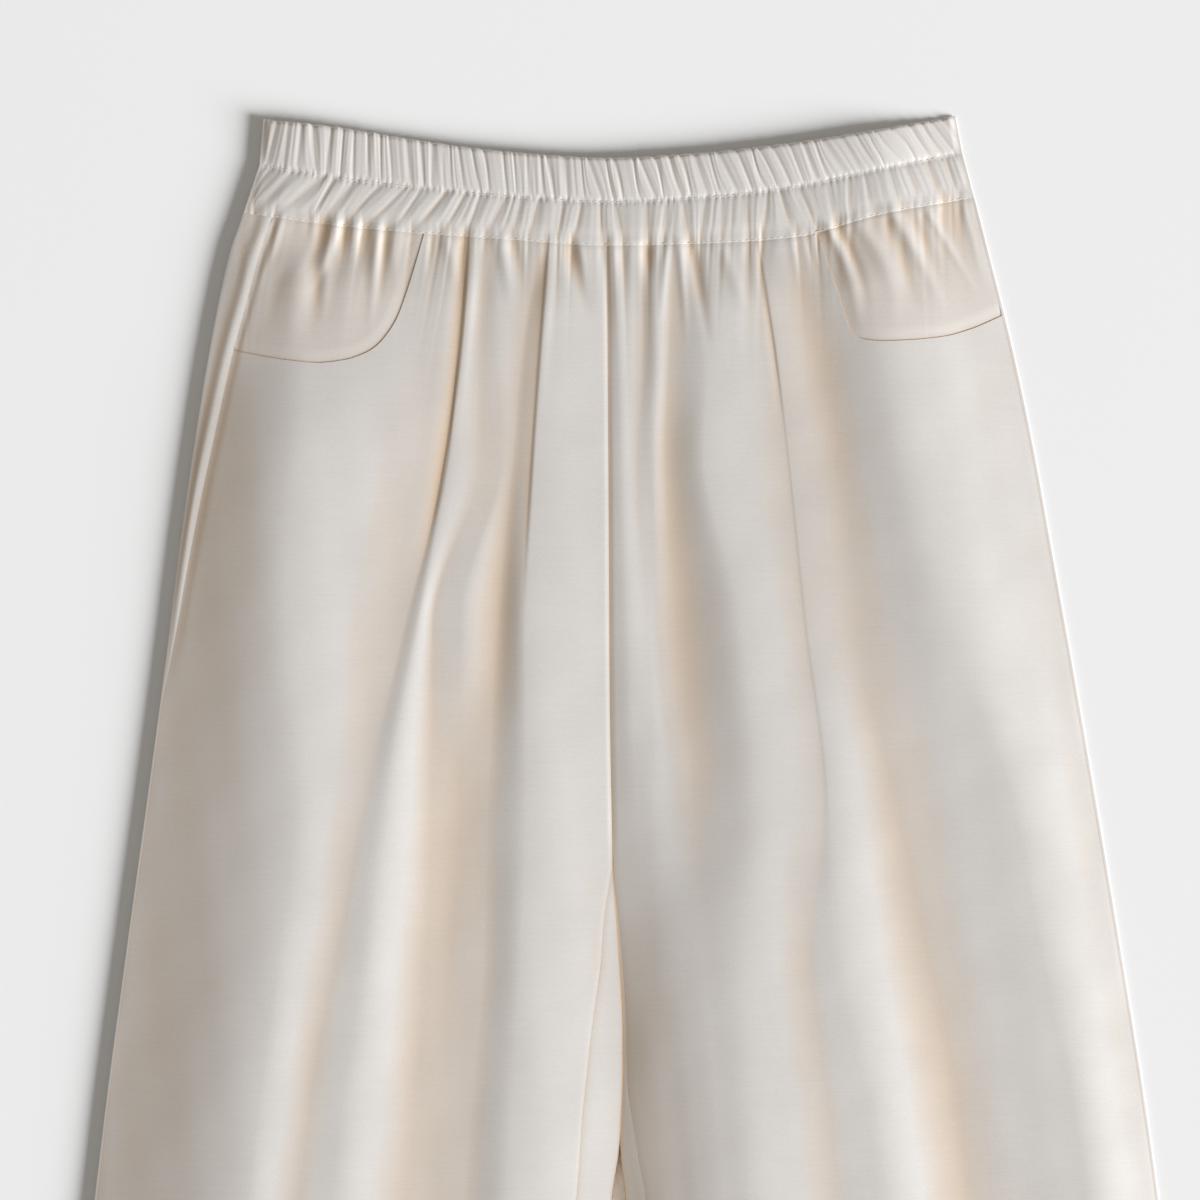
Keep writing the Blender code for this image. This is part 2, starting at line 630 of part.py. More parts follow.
def main():
    for old in list(bpy.data.objects):
        bpy.data.objects.remove(old, do_unlink=True)
    collection = bpy.data.collections.new("gathered trousers")
    bpy.context.scene.collection.children.link(collection)
    make_band_front(collection)
    make_band_back(collection)
    for side in ("right", "left"):
        make_front(side, collection)
        make_back(side, collection)
        make_side_front(side, collection)


main()
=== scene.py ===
"""Looks of the wide-leg trousers: silk satin on every cut piece, gathers, seams, stitches and the stage."""

import math

import bmesh
import bpy
import numpy as np
from bpy.props import FloatProperty, FloatVectorProperty, IntProperty, PointerProperty
from bpy.types import Operator, Panel, PropertyGroup
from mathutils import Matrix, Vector


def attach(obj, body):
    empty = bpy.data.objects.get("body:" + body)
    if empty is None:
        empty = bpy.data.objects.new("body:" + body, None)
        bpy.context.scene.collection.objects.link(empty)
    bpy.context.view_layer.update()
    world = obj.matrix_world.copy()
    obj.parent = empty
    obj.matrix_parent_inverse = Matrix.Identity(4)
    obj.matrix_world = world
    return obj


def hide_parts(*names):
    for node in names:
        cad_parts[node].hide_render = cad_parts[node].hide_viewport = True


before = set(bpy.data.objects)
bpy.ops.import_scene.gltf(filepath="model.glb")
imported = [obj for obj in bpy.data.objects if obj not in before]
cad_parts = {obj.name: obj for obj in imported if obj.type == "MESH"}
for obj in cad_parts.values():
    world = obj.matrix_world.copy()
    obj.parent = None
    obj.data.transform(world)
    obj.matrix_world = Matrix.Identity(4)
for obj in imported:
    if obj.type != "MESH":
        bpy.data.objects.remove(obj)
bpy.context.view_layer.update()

bl_info = {
    "name": "Gathered Wide-Leg Trousers",
    "version": (1, 0, 0),
    "blender": (4, 5, 0),
    "location": "View3D > Sidebar > Trousers",
    "description": "Dresses the trousers' frame in silk satin, with gathers, pleat folds, seams and stitches",
    "category": "Object",
}

# Metres in a millimetre
MM = 0.001

# Driving sizes, in millimetres. Across is measured from the middle to +X, down from the waist's top.
LENGTH = 1072.0
CROTCH_DOWN = 377.5
FORK_DOWN = 514.5
SEAM_GAP = 0.03

# Turned edges: how far the cloth bulges out and tucks in beneath, the share of the edge's height at
# which it turns, the edge's height and how far in from it the folds reach their own height
ROLL_ACROSS = 0.3
TUCK_ACROSS = 2.0
ROLL_SHOULDER = 0.75
INNER_SHOULDER = {"right": 1.0, "left": 0.86}
OUTER_EDGE_HEIGHT = {"right": 3.9, "left": 0.8}
EDGE_RISE = {"right": 16.0, "left": 45.0}

# Least distance between two fold lines, how far below the band the folds reach their own height, and
# how far in from the outer edge the small relief does
LEAST_RUN = 0.5
FADE_BELOW_BAND = 35.0
EDGE_CALM = 4.0

# Waistband: its ends at the top edge and at both rows, its gathers, and its walls
BAND_TOP_ACROSS = (-183.0, 164.5)
BAND_MIDDLE_ACROSS = (-185.0, 168.0)
BAND_LOW_ACROSS = (-193.0, 174.0)
BAND_WIDTH = BAND_TOP_ACROSS[1] - BAND_TOP_ACROSS[0]
BAND_FOOT_DOWN = 66.0
BAND_HEIGHT = 5.0
UPPER_GATHERS = 53
LOWER_GATHERS = 35
CHANNEL_BULGE = 0.85
UPPER_GATHER_HEIGHT = 0.30
LOWER_GATHER_HEIGHT = 0.34
GATHERS_BELOW_HEIGHT = 0.50
BAND_INSIDE = 2.7
BAND_BACK_WALL = 1.5
BAND_SIDE_WALL = 0.6
BAND_BACK_SHARE = 0.5
BAND_PARTING = 0.06
# Share of the painted fold shade that the band takes above its middle row and at its lower row
BAND_PAINTED_SHADE = 0.35
BAND_FOOT_PAINTED_SHADE = 0.9
BAND_FOOT_SHARE = 0.22
EDGE_SCALLOP = 0.35
PUCKER_HEIGHT = 0.16
MIDDLE_ROW_DIP = 0.22
MIDDLE_ROW_WIDTH = 0.035
TOP_TURN = 0.03
ROW_DIP = 0.2
ROW_DIP_WIDTH = 0.9

# Pockets: how far the side fronts reach under the fronts and lie below them, and how their folds fade
UNDERLAP = 9.0
UNDER_DROP = 0.32
POCKET_FOOT_LEAN = 0.28
POCKET_FADE = 7.0
POCKET_FOLD_SHARE = 0.72
# Painted shade laid all over the side fronts, which lie lower than the fronts
POCKET_PAINTED_SHADE = 0.1
POCKET_SEAM_CALM = 6.0
# Painted shade along the scooped edge, where the front's edge shades the side front beneath, and how far from
# the edge it reaches
POCKET_EDGE_PAINTED_SHADE = 0.8
POCKET_EDGE_SHADE = 1.6

# Share of the width, then how far down the band's top edge, middle row and lower row lie there
BAND_LINES = (
    (0.00, 2.5, 25.5, 49.5),
    (0.10, 6.3, 31.3, 54.8),
    (0.23, 13.5, 37, 59.5),
    (0.35, 18.8, 41, 62.6),
    (0.50, 22, 44, 66),
    (0.63, 19.5, 41.8, 65),
    (0.75, 15, 37.2, 62),
    (0.87, 8.7, 28.5, 50.5),
    (1.00, 0.5, 19, 41.5),
)

# Down, then across of the outermost line of each side
OUTLINE = {
    "right": ((41, -191), (49.5, -193), (68.5, -199.5), (118.5, -210), (168.5, -218), (218.5, -225),
              (268.5, -231.2), (343.5, -241.2), (418.5, -251.5), (493.5, -261.5), (543.5, -267.5),
              (1072, -334)),
    "left": ((41, 174), (68.5, 181), (118.5, 193.5), (168.5, 204), (218.5, 213), (268.5, 222),
             (343.5, 235), (418.5, 247.5), (493.5, 259.5), (543.5, 266.5), (1072, 334)),
}

# Down, then how far the side seam lies in from the outline
SIDE_SEAM_INSET = {
    "right": ((41, 16), (83, 15.3), (118.5, 12.6), (154, 10.4), (194, 7.6), (230, 5.4), (270, 3.2),
              (300, 1.4), (1072, 1.4)),
    "left": ((41, 1.4), (1072, 1.4)),
}

# Down, then across of the centre seam and the line where the legs touch, and of each leg's inner edge
CENTRE_LINE = ((41, -10.5), (203.5, -9.5), (293.5, -9), (353.5, -8), (377.5, -7.5), (411.5, -5),
               (463.5, -2.5), (514.5, -4))
INNER_LINE = {
    "right": (*CENTRE_LINE, (543.5, -8.25), (700, -20), (1072, -39)),
    "left": (*CENTRE_LINE, (543.5, -1.35), (700, 9), (1072, 31)),
}

# Down, then how far the inseam lies from the inner line, which is where the back wraps round to
INSEAM_INSET = {
    "right": ((377.5, 0.1), (405, 6.5), (423.5, 9), (463.5, 16), (514.5, 19.5), (543.5, 17.5),
              (1072, 20)),
    "left": ((377.5, 0.1), (423.5, 1.6), (463.5, 2), (484, 3), (514.5, 8), (543.5, 10.5), (1072, 20)),
}

# Across, then down of the pocket's scooped edge, from the side seam to the waistband
SCOOP = {
    "right": ((-197.5, 118.5), (-180.5, 122), (-167, 124), (-155, 125), (-141.5, 123.5), (-133.5, 121),
              (-127, 117.5), (-121.5, 112), (-115.5, 102.5), (-111, 90.5), (-107, 77.5), (-102, 60)),
    "left": ((188.5, 100.5), (172.5, 107.5), (158.5, 111.5), (140, 113.5), (127.5, 114), (117.5, 113),
             (111.5, 109), (108.2, 100), (105, 90), (99.5, 73.5), (94, 57)),
}

# Distances down at which the fold lines are given
FOLD_STATIONS = (68.5, 118.5, 168.5, 253.5, 343.5, 418.5, 493.5, 1072)

# Fold lines from -X to +X: name, then across and height at each station
FOLDS = {
    "right": (
        ("flank crest", (-164, 7.5), (-160, 9.2), (-165, 12), (-171, 13), (-166, 14), (-174, 14.4),
         (-184, 14.6), (-246, 14)),
        ("outer pleat foot", (-80.6, 7.1), (-85.5, 7.5), (-90.3, 7.4), (-111, 8.9), (-131, 11.6),
         (-145, 12.2), (-158, 12.6), (-216, 11.8)),
        ("outer pleat crest", (-79.2, 7.4), (-84, 7.7), (-88.7, 7.6), (-105.5, 9.3), (-123, 11.8),
         (-132, 12.4), (-143, 12.6), (-199, 11.8)),
        ("shallow dip", (-71.5, 6.6), (-73, 7), (-73, 6.8), (-97, 8.1), (-98, 8.3), (-101, 8.6),
         (-106, 8.7), (-157, 8.5)),
        ("narrow crest", (-64, 7.2), (-66, 7.1), (-63, 6.7), (-84, 8.1), (-84, 7.5), (-88, 8.1),
         (-93, 8.4), (-142, 8.2)),
        ("inner pleat foot", (-45, 6.5), (-53, 6.6), (-57.5, 6.6), (-65, 6.6), (-70, 7.8), (-72, 8.2),
         (-78, 8.6), (-125, 8.5)),
        ("inner pleat crest", (-39.2, 7.3), (-44.3, 7.5), (-47.5, 7.7), (-51.5, 8.5), (-51, 9.4),
         (-54, 9.6), (-58, 10), (-102, 10.2)),
    ),
    "left": (
        ("seam crest", (-4, 6.4), (-3.5, 6.4), (-3, 6.4), (0, 6.6), (4, 7.1), (9, 7.8), (14, 8.7),
         (60, 9.2)),
        ("seam dip", (6, 5.7), (7, 5.8), (5, 6), (9, 6.2), (14, 7.5), (17, 9), (23, 10.1), (69, 10.4)),
        ("second crest", (13.5, 6.9), (14.5, 6.6), (12, 6.2), (15, 5.9), (22, 7.5), (26, 10), (32, 11.3),
         (78, 11.5)),
        ("second dip", (24, 6), (21, 6.1), (19, 5.7), (24, 5.5), (31, 7.6), (37, 10.9), (44, 12.4),
         (89, 12.4)),
        ("broad crest", (44, 7.4), (41, 7.2), (38, 7.7), (56, 8.5), (63, 9.7), (57, 11.9), (59, 12.9),
         (106, 13)),
        ("pleat foot", (63, 6.5), (72.5, 6.3), (79, 6.3), (87.5, 7.1), (97.5, 8.1), (92, 10.1),
         (100, 10.7), (150, 10.6)),
        ("pleat crest", (65.5, 6.7), (74.5, 6.4), (80.5, 6.4), (89.5, 7.2), (100.5, 8.2), (103, 10.2),
         (120, 10.5), (173, 10.3)),
        ("outer dip", (81, 6), (92, 5.8), (101, 6), (112, 6.7), (135, 5.8), (150, 5.6), (165, 5.4),
         (224, 4.8)),
        ("outer crest", (111, 7), (128, 8.6), (137, 8.6), (158, 8.5), (192, 6.5), (206, 6.1), (222, 5.7),
         (290, 5.2)),
    ),
}

# Height of the cloth at the inner line at each station
INNER_HEIGHT = {
    "right": (5.7, 5.9, 5.9, 6, 6, 5.7, 5.1, 3),
    "left": (5.7, 5.9, 5.9, 6, 6, 5.6, 5, 4.4),
}

# Creases under a pleat's edge: across and down of the top, across and down of the foot, how far the
# cloth sinks towards it from -X, depth and how far the middle bows to +X
CREASES = (
    (-80.3, 61, -108, 250, 5, 0.50, 5),
    (-40, 61, -53, 255, 5, 0.42, -1),
    (64, 62, 78, 160, 2.2, 0.22, 1),
)
CREASE_LIP = 0.7
# How strongly the cloth beside each crease is painted in warm shade
CREASE_PAINTED_SHADE = 1.1

# Small folds: across and down of the top, across and down of the foot, half width, height (a dip
# below 0) and how far the middle bows to +X
SMALL_FOLDS = (
    (-76.5, 62, -87, 170, 3, 0.35, 1),
    (-36.8, 62, -45, 170, 3, 0.35, -1),
    (-30, 66, -17, 108, 5, -0.95, 0),
    (-24, 66, -20, 96, 2.5, 0.52, 0),
    (-64, 63, -57, 100, 3.5, 0.75, 0),
    (-57, 63, -52, 92, 3, -0.60, 0),
    (-91, 62, -84, 92, 3.5, 0.60, 0),
    (-98, 61, -100, 88, 2.2, -0.45, 0),
    (9, 66, 11, 88, 4, -0.80, 0),
    (19, 66, 16, 110, 2.5, 0.60, 0),
    (26, 66, 30, 118, 2.2, 0.60, 0),
    (32, 66, 43, 128, 3, -0.80, 0),
    (46, 65, 62, 105, 4, 0.60, 0),
    (82, 60, 86, 90, 2.4, 0.45, 0),
    (89, 59, 95, 84, 2, -0.40, 0),
)

# The same for the side fronts that show inside the pockets
POCKET_FOLDS = {
    "right": (
        (-146, 51, -161.5, 93, 3.4, 1.5, 2.5),
        (-151.5, 52, -166, 87, 3.9, -1, 2.5),
        (-155, 78, -158, 113, 4.5, -0.8, 0),
        (-151, 74, -153, 106, 3.2, 0.7, 0),
        (-136, 53, -137.5, 82, 2.9, 0.9, 0),
        (-141.5, 53, -143, 84, 2.9, -0.7, 0),
        (-131, 55, -134, 88, 2.9, -0.7, 0),
        (-125, 55, -129.5, 114, 2.9, 1.2, 0),
        (-121.8, 56, -124, 98, 2.6, -0.9, 0),
        (-116.5, 56, -116.5, 88, 3.1, 1.1, -1),
        (-163, 74, -171, 128, 6.5, 0.9, 0),
        (-174, 51, -187, 90, 2.9, 0.9, 1.5),
        (-178.5, 51, -189, 86, 2.6, -0.6, 1),
        (-175, 80, -182, 114, 5.2, -0.6, 0),
        (-138, 78, -143, 122, 7.8, 0.7, 0),
    ),
    "left": (
        (98.5, 55, 114.5, 108, 3.4, 1.3, 4.5),
        (104, 55, 119.5, 108, 3.1, -0.9, 4.5),
        (113.5, 53, 132, 110, 5.5, 1.4, 8),
        (130, 52, 133, 74, 3.2, -0.7, 0),
        (135, 62, 147, 106, 3.9, -0.8, 0),
        (132, 48, 161, 104, 4.2, 1.3, 1),
        (140, 48, 158, 90, 3.9, -0.8, 2),
        (149, 47, 178, 96, 2.9, 0.9, 0.5),
        (161, 44, 164, 70, 3.9, -0.7, 0),
        (168, 43, 181, 92, 2.6, 0.6, 0),
    ),
}

INWARD = {"right": 1.0, "left": -1.0}


def ease(share):
    """A soft step from 0 to 1."""
    share = np.clip(share, 0.0, 1.0)
    return share * share * (3.0 - 2.0 * share)


def bell(away, width):
    """A soft bump that is 1 high at 0 and gone a little past its width."""
    return np.exp(-((away / width) ** 2))


def smooth(stations, values, at):
    """Value at `at` on a curve through the table that does not overshoot it."""
    stations = np.asarray(stations, float)
    values = np.asarray(values, float)
    at = np.clip(at, stations[0], stations[-1])
    gaps = np.diff(stations)
    slopes = np.diff(values) / gaps
    tangents = np.zeros_like(values)
    before, after = slopes[:-1], slopes[1:]
    same_way = before * after > 0
    tangents[1:-1][same_way] = 2 * before[same_way] * after[same_way] / (before + after)[same_way]
    tangents[0], tangents[-1] = slopes[0], slopes[-1]
    row = np.clip(np.searchsorted(stations, at) - 1, 0, len(gaps) - 1)
    gap = gaps[row]
    part = (at - stations[row]) / gap
    start = (1 + 2 * part) * (1 - part) ** 2 * values[row] + part * (1 - part) ** 2 * gap * tangents[row]
    end = part**2 * (3 - 2 * part) * values[row + 1] - part**2 * (1 - part) * gap * tangents[row + 1]
    return start + end


def from_table(table, at, column=1):
    """One column of a table as a smooth function of its first column."""
    rows = sorted(table)
    return smooth([row[0] for row in rows], [row[column] for row in rows], at)


def band_share(across):
    """Share of the waistband's width, from 0 at -X to 1 at +X."""
    return (across - BAND_LOW_ACROSS[0]) / (BAND_LOW_ACROSS[1] - BAND_LOW_ACROSS[0])


def band_low(across):
    """How far down the waistband's lower row lies."""
    return from_table(BAND_LINES, band_share(across), 3)


def outline(side, down):
    """Across of a side's outermost line."""
    return from_table(OUTLINE[side], down)


def inner_line(side, down):
    """Across of the line where the halves meet, then of a leg's inner edge."""
    return from_table(INNER_LINE[side], down)


def side_seam(side, down):
    """Across of a side seam."""
    return outline(side, down) + INWARD[side] * from_table(SIDE_SEAM_INSET[side], down)


def front_inner(side, down):
    """Inner edge of a front: the centre seam, then the inseam below the crotch."""
    inset = np.where(down < CROTCH_DOWN, 0.0, from_table(INSEAM_INSET[side], down))
    return inner_line(side, down) - INWARD[side] * inset


def inner_height(side, down):
    """Height of the cloth at the inner line."""
    return smooth(FOLD_STATIONS, INNER_HEIGHT[side], down)


def fold_lines(side, down):
    """Across and height of one half's fold lines, from -X to +X, with the half's two ends."""
    down = np.asarray(down, float)
    places = [smooth(FOLD_STATIONS, [point[0] for point in fold[1:]], down) for fold in FOLDS[side]]
    heights = [smooth(FOLD_STATIONS, [point[1] for point in fold[1:]], down) for fold in FOLDS[side]]
    outer = (outline(side, down) + INWARD[side] * ROLL_ACROSS, np.full_like(down, OUTER_EDGE_HEIGHT[side]))
    inner = (inner_line(side, down) - INWARD[side] * ROLL_ACROSS, inner_height(side, down))
    first, last = (outer, inner) if side == "right" else (inner, outer)
    return [first[0], *places, last[0]], [first[1], *heights, last[1]]


def between_folds(places, heights, across):
    """Height between fold lines: level on the crests and feet, steady on the slopes."""
    runs = [np.maximum(last - first, LEAST_RUN) for first, last in zip(places[:-1], places[1:])]
    slopes = [(last - first) / run for first, last, run in zip(heights[:-1], heights[1:], runs)]
    tangents = [slopes[0]]
    for before, after in zip(slopes[:-1], slopes[1:]):
        both = np.where(before * after > 0, before + after, 1.0)
        tangents.append(np.where(before * after > 0, 2.0 * before * after / both, 0.0))
    tangents.append(slopes[-1])
    height = heights[0] + np.zeros_like(across)
    for number, run in enumerate(runs):
        part = np.clip((across - places[number]) / run, 0.0, 1.0)
        turn = part**2 * (3.0 - 2.0 * part) * slopes[number] * run
        turn += part * (1.0 - part) ** 2 * run * tangents[number]
        turn -= part**2 * (1.0 - part) * run * tangents[number + 1]
        height = height + turn
    return height


def scatter(number, seed):
    """A fixed value between -1 and 1 for each whole number, so that no two gathers are alike."""
    spread = np.sin(np.asarray(number, float) * 12.9898 + seed * 78.233) * 43758.5453
    return 2.0 * (spread - np.floor(spread)) - 1.0


# Gathers: how far they stray from even spacing, their mean size, and the split and the fine ones in them
GATHER_STRAY = 0.38
GATHER_SIZE = 0.62
SPLIT_SHARE = 0.35
FINE_SHARE = 0.10
FINE_RATE = 3.1


def gather_wave(share, part, count, leans, seed):
    """Gathers of one channel, from -1 in the narrow valleys to 1 on the rounded backs.

    `part` runs from 0 at the channel's top to 1 at its foot. `leans` gives, for shares of the width,
    how many gathers' widths each gather moves to +X on its way down.
    """
    numbers = np.arange(-2, count + 3)
    lean = np.interp(numbers / count, [row[0] for row in leans], [row[1] for row in leans])
    top = (numbers + GATHER_STRAY * scatter(numbers, seed)) / count
    foot = (numbers + GATHER_STRAY * scatter(numbers, seed + 1.0) + lean) / count
    phase = (1.0 - part) * np.interp(share, top, numbers) + part * np.interp(share, foot, numbers)
    sizes = GATHER_SIZE + (1.0 - GATHER_SIZE) * scatter(numbers, seed + 2.0)
    size = np.interp(phase, numbers + 0.5, sizes)
    swing = np.interp(phase, numbers + 0.5, scatter(numbers, seed + 3.0))
    back = 2.0 * np.abs(np.sin(math.pi * phase)) - 1.0
    split = 2.0 * np.abs(np.sin(math.pi * (2.0 * phase + 0.35 * swing))) - 1.0
    fine = np.sin(2.0 * math.pi * (FINE_RATE * phase + 0.8 * swing * part))
    much = 1.0 + 0.5 * swing * (2.0 * part - 1.0)
    return size * much * back + SPLIT_SHARE * (1.0 - size) * split + FINE_SHARE * fine


# Shares of the width, then how many gathers' widths they lean to +X there, for each channel
UPPER_LEANS = ((0.0, -0.1), (0.3, 0.3), (0.6, 0.9), (1.0, 1.6))
LOWER_LEANS = ((0.0, -1.2), (0.25, -0.9), (0.5, 0.0), (0.75, 0.15), (1.0, 0.6))


def lower_gathers(share, part):
    return gather_wave(share, part, LOWER_GATHERS, LOWER_LEANS, 5.0)


def gathers_below(across, down):
    """The small gathers that run out of the band's lower row, some short and some long."""
    below = np.maximum(down - band_low(across), 0.0)
    share = band_share(across)
    reach = 12.0 + 6.0 * np.sin(across * 0.131 + 1.3) + 5.0 * np.sin(across * 0.071 + 2.6)
    wave = lower_gathers(share, 1.0 + below * 0.012)
    start = 0.60 + 0.40 * ease(below / 5.0)
    return GATHERS_BELOW_HEIGHT * start * wave * np.exp(-below / np.maximum(reach, 4.0))


def sewn_row_dip(across, down):
    """The fine valley that the band's lower row of stitches pulls into the cloth."""
    return -ROW_DIP * bell(down - band_low(across), ROW_DIP_WIDTH)


def along_fold(fold, across, down):
    """Share of the way down a fold, the same kept within 0 and 1, and how far past its line points lie."""
    top_across, top_down, foot_across, foot_down, _, _, bow = fold
    along = (down - top_down) / (foot_down - top_down)
    part = np.clip(along, 0.0, 1.0)
    line = top_across + (foot_across - top_across) * along + 4.0 * bow * part * (1.0 - part)
    return along, part, across - line


def small_folds(across, down, folds=SMALL_FOLDS):
    """Short folds laid one by one, each widest at its top and dying away at its foot."""
    total = np.zeros_like(across)
    for fold in folds:
        half_width, rise = fold[4:6]
        along, part, past = along_fold(fold, across, down)
        fade = ease(1.0 - along) * ease(0.6 + 3.0 * along)
        width = half_width * (1.0 - 0.3 * part)
        total += rise * bell(past, width) * fade
    return total


def creases(across, down):
    """Creases that sink gently from -X and end at the pleat's edge."""
    total = np.zeros_like(across)
    for fold in CREASES:
        spread, depth = fold[4:6]
        along, _, past = along_fold(fold, across, down)
        reach = np.where(past < 0.0, spread, CREASE_LIP)
        fade = ease(2.5 * (1.0 - along)) * ease(0.6 + 3.0 * along)
        total -= depth * bell(past, reach) * fade
    return total


WIDE_RIPPLE_HEIGHT = 0.12
FINE_RIPPLE_HEIGHT = 0.05


def drape_ripple(across, down):
    """Very low, wide unevenness of cloth that has been laid down by hand."""
    ripple = np.sin(across * 0.071 + down * 0.013) * np.sin(down * 0.031 - across * 0.009 + 1.0)
    fine = np.sin(across * 0.19 + down * 0.05 + 2.0) * np.sin(down * 0.083 - across * 0.06)
    return WIDE_RIPPLE_HEIGHT * ripple + FINE_RIPPLE_HEIGHT * fine


# Seams' dips, as width and depth, and how much deeper the centre seam's is above the crotch
SIDE_SEAM_DIP = (0.8, 0.12)
INNER_SEAM_DIP = (1.3, 0.07)
CENTRE_SEAM_DIP = 0.18
# Ridge and dip beside the right side seam: distance past the seam, width and height
SIDE_RIDGES = ((-4.2, 2.6, 0.60), (1.6, 1.4, -0.25))
RIDGES_TOP = 50.0
RIDGES_FOOT = 300.0


def above_crotch(down):
    """1 above the crotch and 0 below it, with a soft change."""
    return ease((CROTCH_DOWN - down) / 20.0)


def seam_relief(side, across, down):
    """The dip of the cloth into the seams, and the rounded ridge beside the right side seam."""
    width, depth = INNER_SEAM_DIP
    dip = -(depth + CENTRE_SEAM_DIP * above_crotch(down)) * bell(across - front_inner(side, down), width)
    seam = across - side_seam(side, down)
    width, depth = SIDE_SEAM_DIP
    dip = dip - depth * bell(seam, width)
    if side == "right":
        shown = ease((down - RIDGES_TOP) / 20.0) * ease((RIDGES_FOOT - down) / 60.0)
        for past, width, rise in SIDE_RIDGES:
            dip = dip + rise * shown * bell(seam - past, width)
    return dip


def cloth_height(side, across, down):
    """Height of the outer face of the upper layer."""
    across, down = np.broadcast_arrays(np.asarray(across, float), np.asarray(down, float))
    height = between_folds(*fold_lines(side, down), across)
    below_band = ease((down - band_low(across)) / FADE_BELOW_BAND)
    edge = np.minimum(np.abs(across - outline(side, down)) / EDGE_RISE[side], 1.0)
    top = OUTER_EDGE_HEIGHT[side] + (BAND_HEIGHT - OUTER_EDGE_HEIGHT[side]) * ease(edge)
    height = top + (height - top) * below_band
    at_edge = ease((np.abs(across - outline(side, down)) - ROLL_ACROSS) / EDGE_CALM)
    detail = gathers_below(across, down) + small_folds(across, down) + drape_ripple(across, down)
    detail = detail + creases(across, down) + seam_relief(side, across, down) + sewn_row_dip(across, down)
    height = height + detail * at_edge
    reach = np.clip(np.abs(across - inner_line(side, down)) / ROLL_ACROSS, 0.0, 1.0)
    parted = ease((down - CROTCH_DOWN) / (FORK_DOWN - CROTCH_DOWN))
    shoulder = INNER_SHOULDER[side] * inner_height(side, down)
    return height - parted * (height - shoulder) * (1.0 - np.sqrt(1.0 - (1.0 - reach) ** 2))


def linear(hex_colour):
    """Linear red, green and blue of an sRGB hex colour."""
    channels = [int(hex_colour[place : place + 2], 16) / 255.0 for place in (1, 3, 5)]
    return tuple(c / 12.92 if c <= 0.04045 else ((c + 0.055) / 1.055) ** 2.4 for c in channels)


class TrousersSizes(PropertyGroup):
    """Sizes that change how the cloth looks."""

    cloth_wall: FloatProperty(name="Cloth wall", description="Thickness of the cloth that shows at its edges",
                              default=0.00025, unit="LENGTH")
    columns: IntProperty(name="Columns", description="Columns of points across one front", default=300)
    rows: IntProperty(name="Rows", description="Rows of points down one front", default=150)
    stitch: FloatProperty(name="Stitch", description="Length of one sewn stitch", default=0.0024,
                          unit="LENGTH")
    slub: FloatProperty(name="Slub", description="Length of the thick places in the weft yarn", default=0.022,
                        unit="LENGTH")


def colour(name, description, hex_colour):
    """A colour setting that starts from an sRGB hex colour."""
    return FloatVectorProperty(name=name, description=description, subtype="COLOR",
                               default=linear(hex_colour))


class TrousersColours(PropertyGroup):
    """Colours of the cloth and of its painted warm shade, the thread and the floor."""

    silk: colour("Silk", "Ivory of the silk satin", "#E4DFDA")
    # Colour of the painted shade: the warmer ivory that the silk turns to in its hollows, creases and seams
    silk_in_painted_shade: colour("Silk in painted shade", "Warmer ivory down in the folds", "#E8C8A4")
    thread: colour("Thread", "Sewing thread", "#D9D2CA")
    floor: colour("Floor", "Plain pale floor", "#FBFBFB")


def add_node(material, kind, settings=None, **links):
    """Adds a shader node, sets its fields and sockets, and links named sockets to other nodes' outputs."""
    node = material.node_tree.nodes.new(kind)
    for name, value in (settings or {}).items():
        if hasattr(node, name):
            setattr(node, name, value)
        else:
            node.inputs[name].default_value = value
    for name, source in links.items():
        socket = node.inputs[int(name[1:])] if name[0] == "s" and name[1:].isdigit() else node.inputs[name]
        material.node_tree.links.new(source, socket)
    return node


# Cells to the metre of the weave's grain, the slow change of gloss, the thread's twist and the paper
GRAIN_SCALE = 1200.0
GLOSS_SCALE = 34.0
TWIST_SCALE = 2500.0
FIBRE_SCALE = 400.0
SLUB_FLATNESS = 26.0


def start_material(name):
    """An empty material and the garment's own coordinates for its textures."""
    material = bpy.data.materials.new(name)
    material.use_nodes = True
    material.node_tree.nodes.clear()
    return material, add_node(material, "ShaderNodeTexCoord").outputs["Object"]


def add_noise(material, place, scale, detail=2.0, roughness=0.5):
    """A noise texture's grey output."""
    settings = {"Scale": scale, "Detail": detail, "Roughness": roughness}
    return add_node(material, "ShaderNodeTexNoise", settings, Vector=place).outputs["Fac"]


def spread_noise(material, noise, least, most):
    """Spreads the middle of a noise over the range from least to most."""
    settings = {"From Min": 0.3, "From Max": 0.7, "To Min": least, "To Max": most}
    return add_node(material, "ShaderNodeMapRange", settings, Value=noise).outputs["Result"]


def finish_material(material, raised, bump, settings, **links):
    """Adds the bumpy shaded surface and the output."""
    normal = add_node(material, "ShaderNodeBump", bump, Height=raised).outputs["Normal"]
    shader = add_node(material, "ShaderNodeBsdfPrincipled", settings, Normal=normal, **links)
    add_node(material, "ShaderNodeOutputMaterial", Surface=shader.outputs["BSDF"])
    return material


